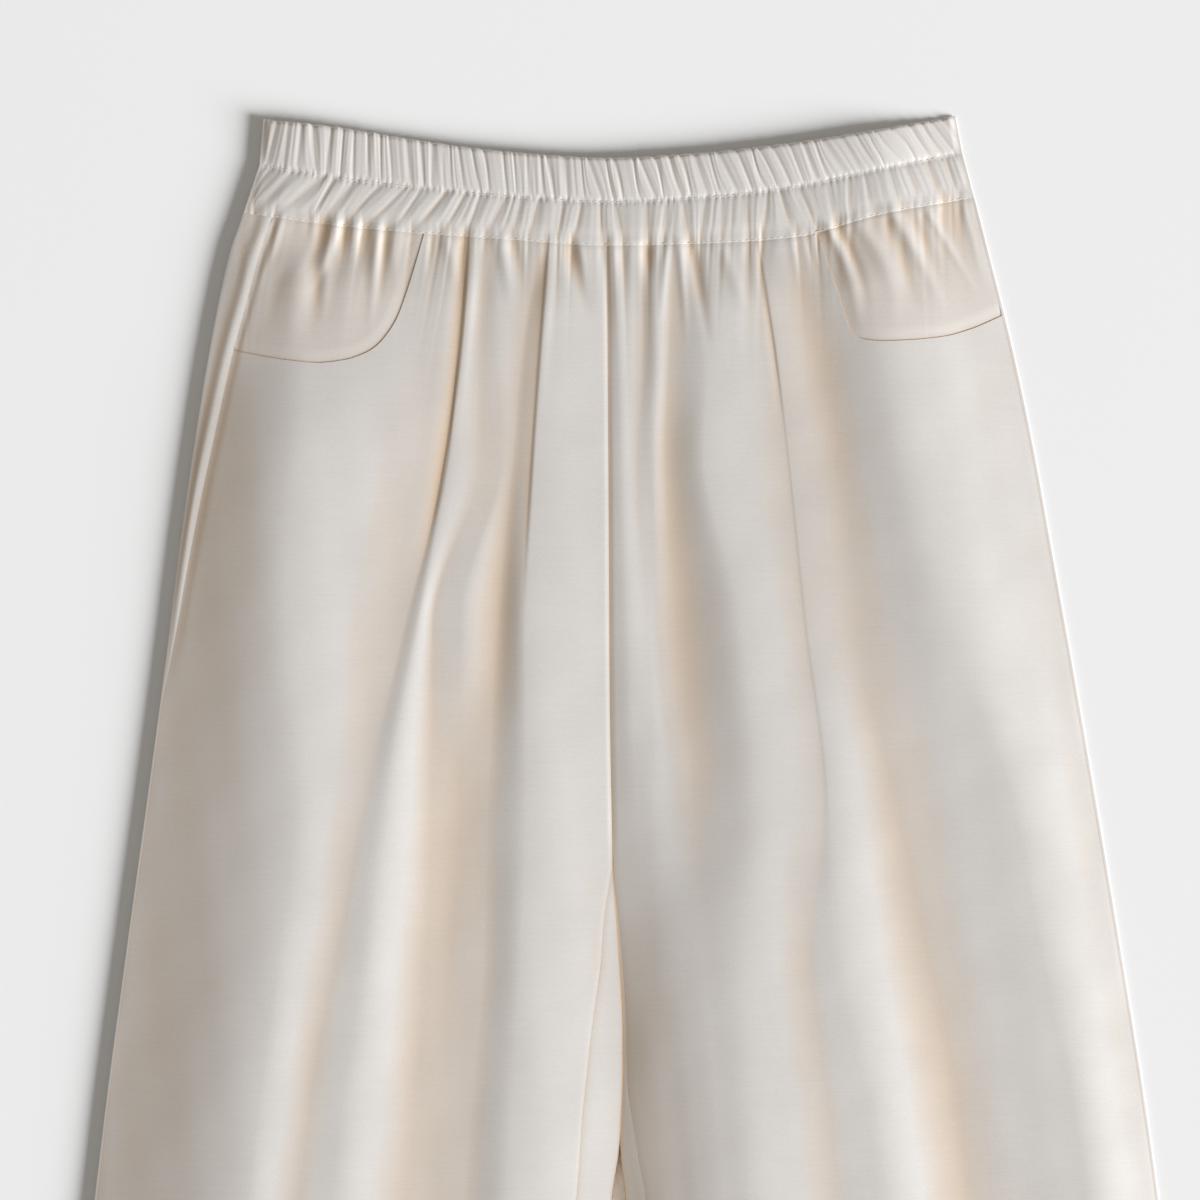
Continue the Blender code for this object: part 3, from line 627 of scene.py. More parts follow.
def silk_satin(name, colours, sizes):
    """Silk satin woven with a fine warp and a slightly slubbed weft: long floats give a broad soft gloss."""
    material, place = start_material(name)
    # The weft yarn's thick places lie across the garment, about 22 mm long and under 1 mm high
    along = 1.0 / sizes.slub
    stretched = add_node(material, "ShaderNodeMapping", {"Scale": (along, along * SLUB_FLATNESS, along)},
                         Vector=place)
    slubs = add_noise(material, stretched.outputs["Vector"], 1.0, 3.0, 0.6)
    # Warp and weft are 0.1 mm apart in real satin: drawn at about 0.8 mm so that the grain shows
    grain = add_noise(material, place, GRAIN_SCALE, 2.0, 0.7)
    # The attribute holds painted shade: towards the warmer ivory in hollows, creases, seams and on slopes
    # facing away from the key light
    depth = add_node(material, "ShaderNodeAttribute", {"attribute_name": "painted_shade"})
    tone = add_node(material, "ShaderNodeMix", {"data_type": "RGBA"}, s0=depth.outputs["Fac"])
    tone.inputs[6].default_value = (*colours.silk, 1.0)
    tone.inputs[7].default_value = (*colours.silk_in_painted_shade, 1.0)
    yarn = add_node(material, "ShaderNodeMath", {"operation": "MULTIPLY"},
                    s0=spread_noise(material, slubs, 0.982, 1.014),
                    s1=spread_noise(material, grain, 0.965, 1.03))
    shaded = add_node(material, "ShaderNodeMix", {"data_type": "RGBA", "blend_type": "MULTIPLY"},
                      s6=tone.outputs[2], s7=yarn.outputs["Value"])
    shaded.inputs[0].default_value = 1.0
    # The gloss changes slowly over a few centimetres
    rough = spread_noise(material, add_noise(material, place, GLOSS_SCALE, 3.0), 0.41, 0.49)
    raised = add_node(material, "ShaderNodeMath", {"operation": "ADD"}, s0=slubs, s1=grain)
    settings = {"IOR": 1.5, "Sheen Weight": 0.08, "Sheen Roughness": 0.4, "Specular IOR Level": 0.8,
                "Metallic": 0.18}
    links = {"Base Color": shaded.outputs[2], "Roughness": rough}
    return finish_material(material, raised.outputs["Value"], {"Strength": 0.12, "Distance": 0.0002},
                           settings, **links)


def sewing_thread(colours):
    """Spun silk thread: a little darker than the cloth, with a fine twist."""
    material, place = start_material("spun silk thread")
    twist = add_noise(material, place, TWIST_SCALE)
    return finish_material(material, twist, {"Strength": 0.2, "Distance": 0.0001},
                           {"Base Color": (*colours.thread, 1.0), "Roughness": 0.45, "IOR": 1.5})


def pale_paper(colours):
    """Matt paper backdrop: even and without gloss, so it only takes the soft shadow."""
    material, place = start_material("matt paper")
    fibre = add_noise(material, place, FIBRE_SCALE)
    settings = {"Base Color": (*colours.floor, 1.0), "Roughness": 0.95, "Specular IOR Level": 0.0}
    return finish_material(material, fibre, {"Strength": 0.02, "Distance": 0.0001}, settings)


def metres(points):
    """Points given as across, down and height in millimetres, in the part's own coordinates."""
    points = np.asarray(points, float)
    placed = np.empty_like(points)
    placed[..., 0] = points[..., 0] * MM
    placed[..., 1] = (LENGTH / 2.0 - points[..., 1]) * MM
    placed[..., 2] = points[..., 2] * MM
    return placed


# Edges that turn more than this stay sharp
SHEET_SMOOTH_ANGLE = math.radians(50.0)
BAND_SMOOTH_ANGLE = math.radians(60.0)


def select_only(piece=None):
    """Selects one object alone, or none."""
    for other in bpy.context.selected_objects:
        other.select_set(False)
    if piece:
        bpy.context.view_layer.objects.active = piece
        piece.select_set(True)


def link_object(name, mesh, material):
    """Puts a mesh in the scene as an object with one material."""
    mesh.materials.append(material)
    made = bpy.data.objects.new(name, mesh)
    bpy.context.scene.collection.objects.link(made)
    return made


def mesh_object(name, points, faces, material, attributes=None):
    """An object from points in metres, faces and one value a point for each attribute."""
    mesh = bpy.data.meshes.new(name)
    mesh.from_pydata([tuple(point) for point in points], [], faces)
    for label, values in (attributes or {}).items():
        layer = mesh.attributes.new(label, "FLOAT", "POINT")
        layer.data.foreach_set("value", np.asarray(values, np.float32))
    mesh.validate()
    return link_object(name, mesh, material)


def change_mesh(mesh, change):
    """Runs one change on a mesh's points and faces."""
    bm = bmesh.new()
    bm.from_mesh(mesh)
    change(bm)
    bm.to_mesh(mesh)
    bm.free()


def drop_loose_points(bm):
    loose = [vertex for vertex in bm.verts if not vertex.link_faces]
    bmesh.ops.delete(bm, geom=loose, context="VERTS")


def grid_faces(row_count, column_count, kept=None):
    """Cells of a grid of points as faces, in the order rows from the hem up and columns to +X."""
    faces = []
    for row in range(row_count - 1):
        for column in range(column_count - 1):
            if kept is not None and not kept(row, column):
                continue
            first = row * column_count + column
            faces.append((first, first + 1, first + column_count + 1, first + column_count))
    return faces


def cloth_sheet(name, rows, material, wall, kept=None, depth=None):
    """A thin wall of cloth through a grid of points, given in millimetres as rows from the hem up."""
    rows = np.asarray(rows, float)
    row_count, column_count = rows.shape[:2]
    # `depth` holds each point's painted shade; without it the sheet takes none
    shade = np.zeros((row_count, column_count)) if depth is None else depth
    made = mesh_object(name, metres(rows).reshape(-1, 3), grid_faces(row_count, column_count, kept), material,
                       {"painted_shade": shade.reshape(-1)})
    select_only(made)
    change_mesh(made.data, drop_loose_points)
    solid = made.modifiers.new("cloth wall", "SOLIDIFY")
    solid.thickness = wall
    solid.offset = -1.0
    bpy.ops.object.modifier_apply(modifier=solid.name)
    bpy.ops.object.shade_smooth_by_angle(angle=SHEET_SMOOTH_ANGLE)
    return made


def declare(piece, cut, side=None):
    """Hangs a sheet under the root and hides the model's part that it stands for."""
    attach(piece, "root")
    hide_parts(f"{cut}_{side}" if side else cut)


# Powers that set a front's rows closer near the waist, and a wrapped strip's columns near its edge
ROW_SPACING = 1.4
WRAP_SPACING = 1.7


def row_downs(top, count, foot=LENGTH):
    """Distances down of a column's points, closer together near the waist, with one at the crotch."""
    down = top + (foot - top) * np.linspace(0.0, 1.0, count) ** ROW_SPACING
    down[np.argmin(np.abs(down - CROTCH_DOWN))] = CROTCH_DOWN
    return down


def scoop_curve(side, count):
    """Points along the pocket's edge, evenly spaced, from the side seam to the band."""
    table = np.array(SCOOP[side], float)
    steps = np.concatenate([[0.0], np.cumsum(np.linalg.norm(np.diff(table, axis=0), axis=1))])
    at = np.linspace(0.0, steps[-1], count)
    return np.stack([smooth(steps, table[:, 0], at), smooth(steps, table[:, 1], at)], axis=1)


def front_guides(side, down):
    """The lines that a front's columns run along: its side seam, its folds and its inner edge."""
    places = list(fold_lines(side, down)[0])
    seam = side_seam(side, down) + INWARD[side] * SEAM_GAP
    inner = front_inner(side, down) - INWARD[side] * SEAM_GAP
    places[0], places[-1] = (seam, inner) if side == "right" else (inner, seam)
    return places


def guide_number(side, across, down):
    """The place of a point between the guides, as a number of guides from -X."""
    places = [float(place) for place in front_guides(side, down)]
    for number in range(len(places) - 1):
        if across <= places[number + 1] or number == len(places) - 2:
            return number + (across - places[number]) / (places[number + 1] - places[number])


def on_guides(side, number, down):
    """Across of a column that keeps its place between two guides."""
    places = front_guides(side, down)
    first = min(max(int(number), 0), len(places) - 2)
    return places[first] + (number - first) * (places[first + 1] - places[first])


def column_top(across_at):
    """How far down a column starts, just below the band, with its across as a function of down."""
    top = BAND_FOOT_DOWN
    for _ in range(4):
        top = float(band_low(across_at(top))) + SEAM_GAP
    return top


SCOOP_COLUMN_SHARE = 0.36


def front_columns(side, count):
    """Guide number and top of each column of a front, from -X to +X."""
    right = side == "right"
    scoop_count = int(count * SCOOP_COLUMN_SHARE)
    last_guide = float(len(FOLDS[side]) + 1)
    columns = sorted((guide_number(side, across, down), down)
                     for across, down in scoop_curve(side, scoop_count))
    seam_end = 0 if right else -1
    columns[seam_end] = (0.0 if right else last_guide, columns[seam_end][1])
    ends = (columns[-1][0], last_guide) if right else (0.0, columns[0][0])
    start, end = (on_guides(side, number, BAND_FOOT_DOWN) for number in ends)
    places = [guide_number(side, float(start + share * (end - start)), BAND_FOOT_DOWN)
              for share in np.linspace(0.0, 1.0, count - scoop_count + 1)]
    places = [*places[1:-1], last_guide] if right else [0.0, *places[1:-1]]
    for whole in range(1, len(FOLDS[side]) + 1):
        nearest = min(range(len(places)), key=lambda place: abs(places[place] - whole))
        if abs(places[nearest] - whole) < 0.5:
            places[nearest] = float(whole)
    columns += [(number, column_top(lambda down, number=number: on_guides(side, number, down)))
                for number in places]
    return sorted(columns)


# Painted shade in hollows: how far to each side the cloth is looked at, how much lower it is at full shade,
# and the share of it
HOLLOW_REACHES = ((2.5, 0.4, 0.45), (7.0, 0.9, 0.25), (14.0, 1.6, 0.25), (22.0, 2.4, 0.25),
                  (32.0, 3.4, 0.35))
# Painted shade on slopes that face -X, away from the key light: how far the slope is measured over, and the
# slopes at which the shade starts and is full
SLOPE_REACH = 2.0
COOL_SLOPE = 0.1
WARM_SLOPE = 0.35
SLOPE_PAINTED_SHADE = 0.6
STEEP_PAINTED_SHADE = 0.3


def painted_shade(height_at, room):
    """Painted warm shade, from 0 to 1: how far points lie in a hollow, where shade gathers, or on a slope
    that faces -X, away from the key light.

    `height_at` gives the heights of the points moved to +X by its value, and `room` is the distance
    from each point to the nearest edge.
    """
    level = height_at(0.0)
    found = np.zeros_like(level)
    for reach, deepest, share in HOLLOW_REACHES:
        step = np.minimum(reach, room)
        around = 0.5 * (height_at(step) + height_at(-step))
        found += share * np.clip((around - level) / deepest, 0.0, 1.0)
    step = np.clip(room, 0.01, SLOPE_REACH)
    slope = (height_at(step) - height_at(-step)) / (2.0 * step)
    found += SLOPE_PAINTED_SHADE * ease((slope - COOL_SLOPE) / (WARM_SLOPE - COOL_SLOPE))
    found += STEEP_PAINTED_SHADE * np.clip(slope, 0.0, 1.0)
    return 1.0 - np.exp(-found)


def cloth_painted_shade(side, across, down):
    """Painted shade of the folds and creases on the fronts and on the backs' strips beside them."""
    room = np.minimum(np.abs(across - outline(side, down)), np.abs(across - inner_line(side, down)))
    depth = painted_shade(lambda shift: cloth_height(side, across + shift, down), room)
    return depth + (1.0 - depth) * np.clip(-CREASE_PAINTED_SHADE * creases(across, down), 0.0, 1.0)


# Painted shade at the side seam, at the inseam, what the centre seam adds to that, and in the groove at the
# legs' inner edges
SEAM_SHADES = (0.3, 0.35, 0.4, 0.8)
SEAM_SHADE_WIDTH = 0.6
LEG_EDGE_WIDTH = 0.9


def seam_shade(side, across, down):
    """How near each point lies to a seam, from 0 to 1, as warm painted shade in the seams' dips and in the
    groove where the legs meet.
    """
    at_side, at_inseam, at_centre, at_leg = SEAM_SHADES
    above = above_crotch(down)
    outer = at_side * bell(across - side_seam(side, down), SEAM_SHADE_WIDTH)
    inner = (at_inseam + at_centre * above) * bell(across - front_inner(side, down), SEAM_SHADE_WIDTH)
    leg_edge = at_leg * (1.0 - above) * bell(across - inner_line(side, down), LEG_EDGE_WIDTH)
    return np.maximum(np.maximum(outer, inner), leg_edge)


def leg_shade(side, rows):
    """Painted warm shade of a leg's cloth at a grid of points, from its folds and from its seams."""
    across, down = rows[..., 0], rows[..., 1]
    return np.maximum(cloth_painted_shade(side, across, down), seam_shade(side, across, down))


def sizes_and_silk(context, name):
    """The sizes and a silk satin of its own for one operator's pieces."""
    sizes = context.scene.trousers_sizes
    return sizes, silk_satin(name, context.scene.trousers_colours, sizes)


class TROUSERS_OT_fronts(Operator):
    """Makes the two fronts: pleat folds, gathers under the band and the scooped pocket edge"""

    bl_idname = "trousers.fronts"
    bl_label = "Fronts"

    def execute(self, context):
        sizes, material = sizes_and_silk(context, "ivory silk satin")
        for side in ("right", "left"):
            grid = []
            for number, top in front_columns(side, sizes.columns):
                down = row_downs(top, sizes.rows)
                across = on_guides(side, number, down)
                grid.append(np.stack([across, down, cloth_height(side, across, down)], axis=1))
            rows = np.stack(grid, axis=1)[::-1]
            # Each front carries its painted fold and seam shade
            piece = cloth_sheet(f"front_{side}_cloth", rows, material, sizes.cloth_wall,
                                depth=leg_shade(side, rows))
            declare(piece, "front", side)
        return {"FINISHED"}


# Rows of a back from the band to the crotch, from there to the fork and from there to the hem
RISE_ROWS = 60
FORK_ROWS = 39
LEG_ROWS = 70
STRIP_COLUMNS = 10
ROLL_COLUMNS = 14
FLOOR_COLUMNS = 16
WRAP_COLUMNS = 16
FLOOR_CLOTH_HEIGHT = 1.0


def back_columns():
    """The columns of a back, from the side seam round the outside to the inseam, as kinds and values."""
    columns = [("strip", step / STRIP_COLUMNS) for step in range(STRIP_COLUMNS)]
    columns += [("roll", math.pi / 2.0 - math.pi * step / ROLL_COLUMNS) for step in range(ROLL_COLUMNS + 1)]
    columns += [("floor", step / FLOOR_COLUMNS) for step in range(1, FLOOR_COLUMNS + 1)]
    half = ROLL_COLUMNS // 2
    columns += [("inner roll", math.pi * step / ROLL_COLUMNS) for step in range(1, half)]
    return columns + [("wrap", (step / WRAP_COLUMNS) ** WRAP_SPACING) for step in range(WRAP_COLUMNS + 1)]


def back_points(side, kind, value, down):
    """Across and height of one column's points on a back's outer face."""
    down = np.asarray(down, float)
    inward = INWARD[side]
    roll_top = outline(side, down) + inward * ROLL_ACROSS
    inner = inner_line(side, down) - inward * SEAM_GAP
    if kind == "strip":
        seam = side_seam(side, down) - inward * SEAM_GAP
        across = seam + value * (roll_top - seam)
        return across, cloth_height(side, across, down)
    if kind == "roll" and value >= 0.0:
        height = OUTER_EDGE_HEIGHT[side] * (ROLL_SHOULDER + (1.0 - ROLL_SHOULDER) * math.sin(value))
        return roll_top - inward * ROLL_ACROSS * math.cos(value), np.full_like(down, height)
    if kind == "roll":
        height = OUTER_EDGE_HEIGHT[side] * ROLL_SHOULDER * (1.0 + math.sin(value))
        tucked = TUCK_ACROSS * (1.0 - math.cos(value)) - ROLL_ACROSS
        return roll_top + inward * tucked, np.full_like(down, height)
    if kind == "floor":
        floor_end = np.where(down < FORK_DOWN, inner, inner - inward * TUCK_ACROSS)
        return roll_top + value * (floor_end - roll_top), np.zeros_like(down)
    if kind == "inner roll":
        height = INNER_SHOULDER[side] * inner_height(side, down) * (1.0 - math.cos(value))
        return inner - inward * TUCK_ACROSS * (1.0 - math.sin(value)), height
    wrapped = from_table(INSEAM_INSET[side], down) - 2.0 * SEAM_GAP
    across = inner - inward * value * wrapped
    return across, cloth_height(side, across, down)


class TROUSERS_OT_backs(Operator):
    """Makes the two backs: flat where they rest, rolled round the sides and the inner legs"""

    bl_idname = "trousers.backs"
    bl_label = "Backs"

    def execute(self, context):
        sizes, material = sizes_and_silk(context, "ivory silk satin, back")
        columns = back_columns()
        floor_last = columns.index(("floor", 1.0))
        wrap_first = columns.index(("wrap", 0.0))
        fork_row = LEG_ROWS - 1
        crotch_row = fork_row + FORK_ROWS
        for side in ("right", "left"):
            grid = []
            for kind, value in columns:
                top = column_top(lambda down, kind=kind, value=value: back_points(side, kind, value, down)[0])
                rise = top + (CROTCH_DOWN - top) * np.linspace(0.0, 1.0, RISE_ROWS + 1)[:-1]
                fork = np.linspace(CROTCH_DOWN, FORK_DOWN, FORK_ROWS + 1)[:-1]
                leg = FORK_DOWN + (LENGTH - FORK_DOWN) * np.linspace(0.0, 1.0, LEG_ROWS)
                down = np.concatenate([rise, fork, leg])
                across, height = back_points(side, kind, value, down)
                grid.append(np.stack([across, down, height], axis=1))
            rows = np.stack(grid, axis=1)[::-1]
            if side == "right":
                rows = rows[:, ::-1]

            def kept(row, cell, side=side):
                """Leaves out the inner roll above the fork and the wrapped strip above the crotch."""
                cell = len(columns) - 2 - cell if side == "right" else cell
                inner_roll = floor_last <= cell < wrap_first and row >= fork_row
                return not (inner_roll or (cell >= wrap_first and row >= crotch_row))

            # Painted fold and seam shade, left off the cloth that lies on the floor, which has no folds
            shade = leg_shade(side, rows) * (rows[..., 2] > FLOOR_CLOTH_HEIGHT)
            piece = cloth_sheet(f"back_{side}_cloth", rows, material, sizes.cloth_wall, kept, shade)
            declare(piece, "back", side)
        return {"FINISHED"}


def inside_scoop(side, across, down):
    """Distance from the scooped edge, above 0 where the pocket is open."""
    curve = scoop_curve(side, 90)
    away = np.full(across.shape, 1e9)
    for point in curve:
        away = np.minimum(away, np.hypot(across - point[0], down - point[1]))
    past_band_end = (across - SCOOP[side][-1][0]) * INWARD[side] > 0
    open_here = (down < from_table(SCOOP[side], across)) & ~past_band_end
    return np.where(open_here, away, -away)


def pocket_relief(side, across, down):
    """Height of the folds in the side front, only where the pocket lets them show."""
    shown = ease(inside_scoop(side, across, down) / POCKET_FADE)
    from_seam = ease(np.abs(across - side_seam(side, down)) / POCKET_SEAM_CALM)
    return POCKET_FOLD_SHARE * shown * from_seam * small_folds(across, down, POCKET_FOLDS[side])


def with_pocket(side, across, down):
    """Height of the cloth with the folds inside the pocket."""
    return cloth_height(side, across, down) + pocket_relief(side, across, down)


def side_front_height(side, across, down):
    """Height of the side front's outer face, lower where the front covers it."""
    covered = 1.0 - ease(inside_scoop(side, across, down) / POCKET_FADE)
    return with_pocket(side, across, down) - UNDER_DROP * covered


POCKET_COLUMNS = 110
POCKET_ROWS = 90
# Distance down at which the search for the side front's top starts
POCKET_TOP_GUESS = 60.0


class TROUSERS_OT_side_fronts(Operator):
    """Makes the two side fronts that show inside the pockets, gathered into the band"""

    bl_idname = "trousers.side_fronts"
    bl_label = "Side fronts"

    def execute(self, context):
        sizes, material = sizes_and_silk(context, "ivory silk satin, pocket")
        for side in ("right", "left"):
            inward = INWARD[side]
            band_end = SCOOP[side][-1][0] + inward * UNDERLAP
            foot = max(down for _, down in SCOOP[side]) + UNDERLAP
            foot_end = band_end - inward * POCKET_FOOT_LEAN * (foot - SCOOP[side][-1][1])
            share, part = np.meshgrid(np.linspace(0.0, 1.0, POCKET_COLUMNS),
                                      np.linspace(0.0, 1.0, POCKET_ROWS))
            seam = side_seam(side, POCKET_TOP_GUESS)
            across = seam + share * (band_end - seam)
            for _ in range(5):
                top = band_low(across) + SEAM_GAP
                down = top + part * (foot - top)
                start = side_seam(side, down) + inward * (SEAM_GAP + ease(part * 4.0 - 3.0))
                across = start + share * (band_end + part * (foot_end - band_end) - start)
            turn = slice(None, None, 1 if side == "right" else -1)
            across, down = across[::-1, turn], down[::-1, turn]
            rows = np.stack([across, down, side_front_height(side, across, down)], axis=2)
            # Painted shade of the side fronts: warm in their folds, a little all over, and full along the
            # scooped edge under the front
            shade = painted_shade(lambda shift: side_front_height(side, across + shift, down),
                               np.abs(across - side_seam(side, down)))
            shade = np.clip(shade + POCKET_PAINTED_SHADE, 0.0, 1.0)
            edge = ease(1.0 - inside_scoop(side, across, down) / POCKET_EDGE_SHADE)
            shade = np.maximum(shade, POCKET_EDGE_PAINTED_SHADE * edge)
            piece = cloth_sheet(f"side_front_{side}_cloth", rows, material, sizes.cloth_wall, depth=shade)
            declare(piece, "side_front", side)
        return {"FINISHED"}


def band_place(share, level):
    """Across and down on the band: level 0 is its top edge, 0.5 the middle row, 1 the lower row."""
    ends = (BAND_TOP_ACROSS, BAND_MIDDLE_ACROSS, BAND_LOW_ACROSS)
    across = [first + share * (last - first) for first, last in ends]
    down = [from_table(BAND_LINES, share, column) for column in (1, 2, 3)]
    part = np.where(level < 0.5, level * 2.0, level * 2.0 - 1.0)

    def between(top, middle, low):
        return np.where(level < 0.5, top + part * (middle - top), middle + part * (low - middle))

    return between(*across), between(*down)


def band_end(share):
    """Distance from the band's nearer end, and the height of its outer edge there."""
    edge = np.where(share < 0.5, OUTER_EDGE_HEIGHT["right"], OUTER_EDGE_HEIGHT["left"])
    return np.minimum(share, 1.0 - share) * BAND_WIDTH, edge


def band_shares(columns):
    """Shares of the width for the band's columns, close together where its ends roll over."""
    rolled = (1.0 - np.cos(np.linspace(0.0, math.pi / 2.0, 7))) * ROLL_ACROSS / BAND_WIDTH
    middle = np.linspace(rolled[-1], 1.0 - rolled[-1], columns)
    return np.concatenate([rolled[:-1], middle, 1.0 - rolled[-2::-1]])


def band_base(share):
    """Height that the band's relief stands on: low at its ends, where the cloth turns round."""
    away, edge = band_end(share)
    rise = np.where(share < 0.5, EDGE_RISE["right"], EDGE_RISE["left"])
    return edge + (BAND_HEIGHT - edge) * ease(away / rise)


def end_rolled(share, height, width=ROLL_ACROSS, gap=0.0):
    """The band's height with its two ends turned to where front and back meet."""
    away, edge = band_end(share)
    shoulder = ROLL_SHOULDER * edge - gap
    reach = np.minimum(away / width, 1.0)
    return shoulder + (height - shoulder) * np.sqrt(1.0 - (1.0 - reach) ** 2)


def gathered_height(share, level):
    """Height of the front band's outer face: two puffed channels, pinched at the sewn rows."""
    upper = level < 0.5
    part_up, part_low = np.clip(level * 2.0, 0.0, 1.0), np.clip(level * 2.0 - 1.0, 0.0, 1.0)
    # The upper channel starts already swollen at the top edge, and the lower one is flatter
    swell_up = np.sin(math.pi * np.clip(0.30 + 0.70 * part_up, 0.0, 1.0))
    swell_low = np.sin(math.pi * part_low) * 0.45
    wave_up = UPPER_GATHER_HEIGHT * gather_wave(share, part_up, UPPER_GATHERS, UPPER_LEANS, 1.0)
    wave_low = LOWER_GATHER_HEIGHT * (1.15 - 0.45 * part_low) * lower_gathers(share, part_low)
    swell, wave = np.where(upper, swell_up, swell_low), np.where(upper, wave_up, wave_low)
    body = np.maximum(swell, 0.0) ** 0.8
    pucker = PUCKER_HEIGHT * gather_wave(share, 0.5, 2 * UPPER_GATHERS, UPPER_LEANS, 9.0) - MIDDLE_ROW_DIP
    row = bell(level - 0.5, MIDDLE_ROW_WIDTH)
    top_turn = 1.0 - ease(level / TOP_TURN)
    relief = CHANNEL_BULGE * body + wave * (0.60 + 0.40 * body) + row * pucker - top_turn
    away = band_end(share)[0]
    full = band_base(share) + relief * ease((away - ROLL_ACROSS) / EDGE_CALM)
    across, down = band_place(share, level)
    centre = inner_line("right", down)
    cloth = np.where(across < centre, with_pocket("right", across, down), with_pocket("left", across, down))
    foot = ease((level - 1.0 + BAND_FOOT_SHARE) / BAND_FOOT_SHARE)
    return full + foot * (cloth - full)


# Columns and lines of points of the band's two halves
BAND_FRONT_GRID = (900, 45)
BAND_BACK_GRID = (240, 12)


def band_grid(columns, lines):
    """Share, level, across and down of a half band's points."""
    share, level = np.meshgrid(band_shares(columns), np.linspace(0.0, 1.0, lines))
    return share, level, *band_place(share, level)


class TROUSERS_OT_waistband(Operator):
    """Makes the waistband: two gathered channels in front over a plain inside, and a plain back"""

    bl_idname = "trousers.waistband"
    bl_label = "Waistband"

    def execute(self, context):
        _, material = sizes_and_silk(context, "ivory silk satin, gathered")
        share, level, across, down = band_grid(*BAND_FRONT_GRID)
        scallop = gather_wave(share, 0.0, UPPER_GATHERS, UPPER_LEANS, 1.0)
        down = down - EDGE_SCALLOP * scallop * ease(1.0 - 6.0 * level)
        height = end_rolled(share, gathered_height(share, level))
        inside = end_rolled(share[0], np.minimum(BAND_INSIDE, band_base(share[0]) - BAND_SIDE_WALL))
        # Painted shade of the gathers: a share of it on the upper channel, growing to nearly all of it at the
        # foot, where the band meets the cloth below
        warmth = BAND_PAINTED_SHADE + (BAND_FOOT_PAINTED_SHADE - BAND_PAINTED_SHADE) * ease(2.0 * level - 1.0)
        shade = warmth * painted_shade(lambda shift: gathered_height(share + shift / BAND_WIDTH, level),
                                    band_end(share)[0])
        front = self.closed_band("waistband_front_cloth", share[0], across, down, height, inside, shade,
                                 material)
        declare(front, "waistband_front")
        share, level, across, down = band_grid(*BAND_BACK_GRID)
        height = end_rolled(share, np.zeros_like(share), TUCK_ACROSS, BAND_PARTING)
        inside = np.minimum(BAND_BACK_WALL, BAND_BACK_SHARE * band_base(share[0]))
        inside = end_rolled(share[0], inside, TUCK_ACROSS, BAND_PARTING)
        back = self.closed_band("waistband_back_cloth", share[0], across, down, height, inside,
                                np.zeros_like(share), material)
        declare(back, "waistband_back")
        return {"FINISHED"}

    def closed_band(self, name, share, across, down, height, inside, shade, material):
        """A closed wall from a fine outer face and a plain inner one, joined round its edge."""
        lines, columns = across.shape
        outer = np.stack([across, down, height], axis=2).reshape(-1, 3)
        inner = []
        for level in (0.0, 0.5, 1.0):
            places, downs = band_place(share, np.full_like(share, level))
            inner.append(np.stack([places + BAND_SIDE_WALL * (1.0 - 2.0 * share), downs, inside], axis=1))
        points = np.concatenate([outer, *inner])
        faces = grid_faces(lines, columns)
        top, middle, low = (lines * columns + number * columns for number in range(3))
        last = (lines - 1) * columns
        for column in range(columns - 1):
            for one, other in ((0, top), (top, middle), (middle, low)):
                faces.append((one + column, one + column + 1, other + column + 1, other + column))
            faces.append((last + column + 1, last + column, low + column, low + column + 1))
        for column in (0, columns - 1):
            edge = [line * columns + column for line in range(lines)]
            half = lines // 2
            faces.append((*edge[: half + 1], middle + column, top + column))
            faces.append((*edge[half:], low + column, middle + column))
        # Only the outer face carries the painted shade
        depth = np.zeros(len(points))
        depth[: lines * columns] = shade.reshape(-1)
        made = mesh_object(name, metres(points), faces, material, {"painted_shade": depth})
        change_mesh(made.data, lambda bm: bmesh.ops.recalc_face_normals(bm, faces=bm.faces))
        select_only(made)
        bpy.ops.object.shade_smooth_by_angle(angle=BAND_SMOOTH_ANGLE)
        return made


# A stitch: its distance to the next in lengths, its radius in metres, its sides, its height over the
# cloth in millimetres, and its rings as share of the length, share of the radius and lift in radii
STITCH_PITCH = 1.35
STITCH_RADIUS = 0.00013
STITCH_SIDES = 6
STITCH_LIFT = 0.02
STITCH_RINGS = ((0.0, 0.35, -0.5), (0.2, 1.0, 0.1), (0.8, 1.0, 0.1), (1.0, 0.35, -0.5))
# The line a row follows: its first and last share of the band's width, and its number of points
STITCH_LINE = (0.006, 0.994, 900)
# Each row of stitches, and its level on the band
STITCH_ROWS = (("middle", 0.5), ("lower", 0.985))


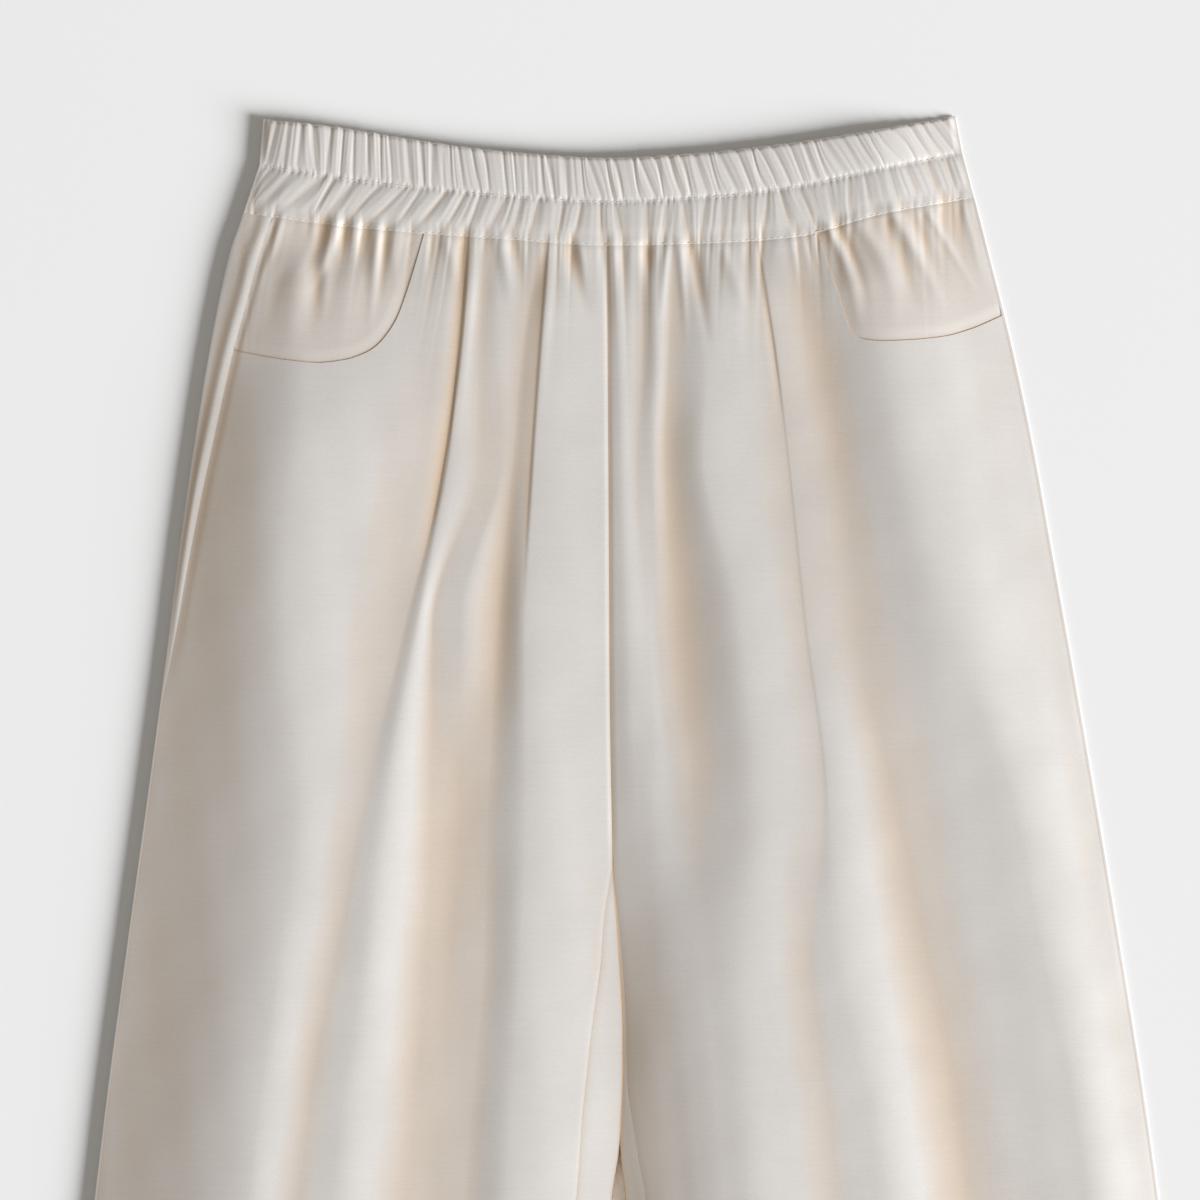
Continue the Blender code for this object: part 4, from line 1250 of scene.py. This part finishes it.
def stitch_row(name, places, material, length, radius):
    """Thread stitches along a line of points, each a small rounded bar half sunk in the cloth."""
    points = metres(np.asarray(places))
    steps = np.concatenate([[0.0], np.cumsum(np.linalg.norm(np.diff(points, axis=0), axis=1))])
    pitch = length * STITCH_PITCH
    turns = [math.pi * 2.0 * step / STITCH_SIDES for step in range(STITCH_SIDES)]
    count = int(steps[-1] / pitch)
    bm = bmesh.new()
    for number in range(count):
        middle = (number + 0.5) * pitch
        ends = [Vector([float(np.interp(middle + shift * length / 2.0, steps, points[:, axis]))
                        for axis in range(3)]) for shift in (-1.0, 1.0)]
        along = (ends[1] - ends[0]).normalized()
        side = along.cross(Vector((0.0, 0.0, 1.0))).normalized()
        up = side.cross(along)
        rings = []
        for share, size, lift in STITCH_RINGS:
            centre = ends[0].lerp(ends[1], share) + up * radius * lift
            rings.append([bm.verts.new(centre + (side * math.cos(turn) + up * math.sin(turn)) * radius * size)
                          for turn in turns])
        for first, last in zip(rings[:-1], rings[1:]):
            for step in range(STITCH_SIDES):
                after = (step + 1) % STITCH_SIDES
                bm.faces.new((first[step], first[after], last[after], last[step]))
        bm.faces.new(rings[0][::-1])
        bm.faces.new(rings[-1])
    bmesh.ops.recalc_face_normals(bm, faces=bm.faces)
    mesh = bpy.data.meshes.new(name)
    bm.to_mesh(mesh)
    bm.free()
    mesh.shade_smooth()
    made = link_object(name, mesh, material)
    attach(made, "root")
    return made


class TROUSERS_OT_stitching(Operator):
    """Sews the band's two rows of stitches"""

    bl_idname = "trousers.stitching"
    bl_label = "Stitching"

    def execute(self, context):
        material = sewing_thread(context.scene.trousers_colours)
        share = np.linspace(*STITCH_LINE)
        for label, level in STITCH_ROWS:
            level = np.full_like(share, level)
            height = gathered_height(share, level) + STITCH_LIFT
            piece = stitch_row(f"{label}_stitches", np.stack([*band_place(share, level), height], axis=1),
                               material, context.scene.trousers_sizes.stitch, STITCH_RADIUS)
        return {"FINISHED"}


# Camera: straight above the part of the garment that the picture frames, at the height of its folds
VIEW_WIDTH = 0.600
VIEW_CENTRE = (-0.014, 0.2925)
VIEW_HEIGHT = 0.008
LENS = 100.0
SENSOR = 36.0

# Floor's size and how far it lies below the cloth, in metres
FLOOR_SIZE = 12.0
FLOOR_BELOW = 0.0004

# Key light: the direction it comes from, its distance and width in metres, its power and its colour
KEY_LIGHT = ((0.857, -0.400, 0.325), 36.0, 16.2, 26000.0, (0.98, 1.0, 1.03))
SKY_COLOUR = (1.05, 1.0, 0.92, 1.0)
SKY_STRENGTH = 0.25


class TROUSERS_OT_stage(Operator):
    """Sets the pale floor, the key light, the soft sky and the camera straight above the front"""

    bl_idname = "trousers.stage"
    bl_label = "Stage"

    def execute(self, context):
        select_only()
        bpy.ops.mesh.primitive_plane_add(size=FLOOR_SIZE, location=(0.0, 0.0, -FLOOR_BELOW))
        floor = bpy.context.object
        floor.name = "floor"
        bpy.ops.object.transform_apply(location=True, rotation=True, scale=True)
        floor.data.materials.append(pale_paper(context.scene.trousers_colours))
        self.softbox("key light", *KEY_LIGHT)
        world = bpy.data.worlds.new("soft studio")
        world.use_nodes = True
        world.node_tree.nodes["Background"].inputs["Color"].default_value = SKY_COLOUR
        world.node_tree.nodes["Background"].inputs["Strength"].default_value = SKY_STRENGTH
        context.scene.world = world
        camera = bpy.data.cameras.new("camera above")
        camera.lens = LENS
        camera.sensor_width = SENSOR
        placed = bpy.data.objects.new("camera above", camera)
        distance = VIEW_WIDTH * LENS / SENSOR
        placed.location = (*VIEW_CENTRE, distance + VIEW_HEIGHT)
        context.scene.collection.objects.link(placed)
        context.scene.camera = placed
        context.scene.view_settings.view_transform = "Standard"
        return {"FINISHED"}

    def softbox(self, name, towards, distance, width, power, colour):
        """A round soft light that shines on the frame's middle."""
        light = bpy.data.lights.new(name, "AREA")
        light.shape = "DISK"
        light.size = width
        light.energy = power
        light.color = colour
        placed = bpy.data.objects.new(name, light)
        placed.rotation_euler = Vector(towards).to_track_quat("Z", "Y").to_euler()
        placed.location = Vector(towards).normalized() * distance
        bpy.context.scene.collection.objects.link(placed)


class TROUSERS_PT_panel(Panel):
    """Lists the trousers' pieces"""

    bl_idname = "TROUSERS_PT_panel"
    bl_label = "Trousers"
    bl_space_type = "VIEW_3D"
    bl_region_type = "UI"
    bl_category = "Trousers"

    def draw(self, context):
        layout = self.layout
        for group in (context.scene.trousers_sizes, context.scene.trousers_colours):
            for name in group.__annotations__:
                layout.prop(group, name)
        for operator in OPERATORS:
            layout.operator(operator.bl_idname)


OPERATORS = (TROUSERS_OT_fronts, TROUSERS_OT_backs, TROUSERS_OT_side_fronts, TROUSERS_OT_waistband,
             TROUSERS_OT_stitching, TROUSERS_OT_stage)
CLASSES = (TrousersSizes, TrousersColours, *OPERATORS, TROUSERS_PT_panel)


def register():
    for made in CLASSES:
        bpy.utils.register_class(made)
    bpy.types.Scene.trousers_sizes = PointerProperty(type=TrousersSizes)
    bpy.types.Scene.trousers_colours = PointerProperty(type=TrousersColours)


def unregister():
    del bpy.types.Scene.trousers_colours
    del bpy.types.Scene.trousers_sizes
    for made in reversed(CLASSES):
        bpy.utils.unregister_class(made)


def main():
    register()
    bpy.ops.trousers.fronts()
    bpy.ops.trousers.backs()
    bpy.ops.trousers.side_fronts()
    bpy.ops.trousers.waistband()
    bpy.ops.trousers.stitching()
    bpy.ops.trousers.stage()


if __name__ == "__main__":
    main()
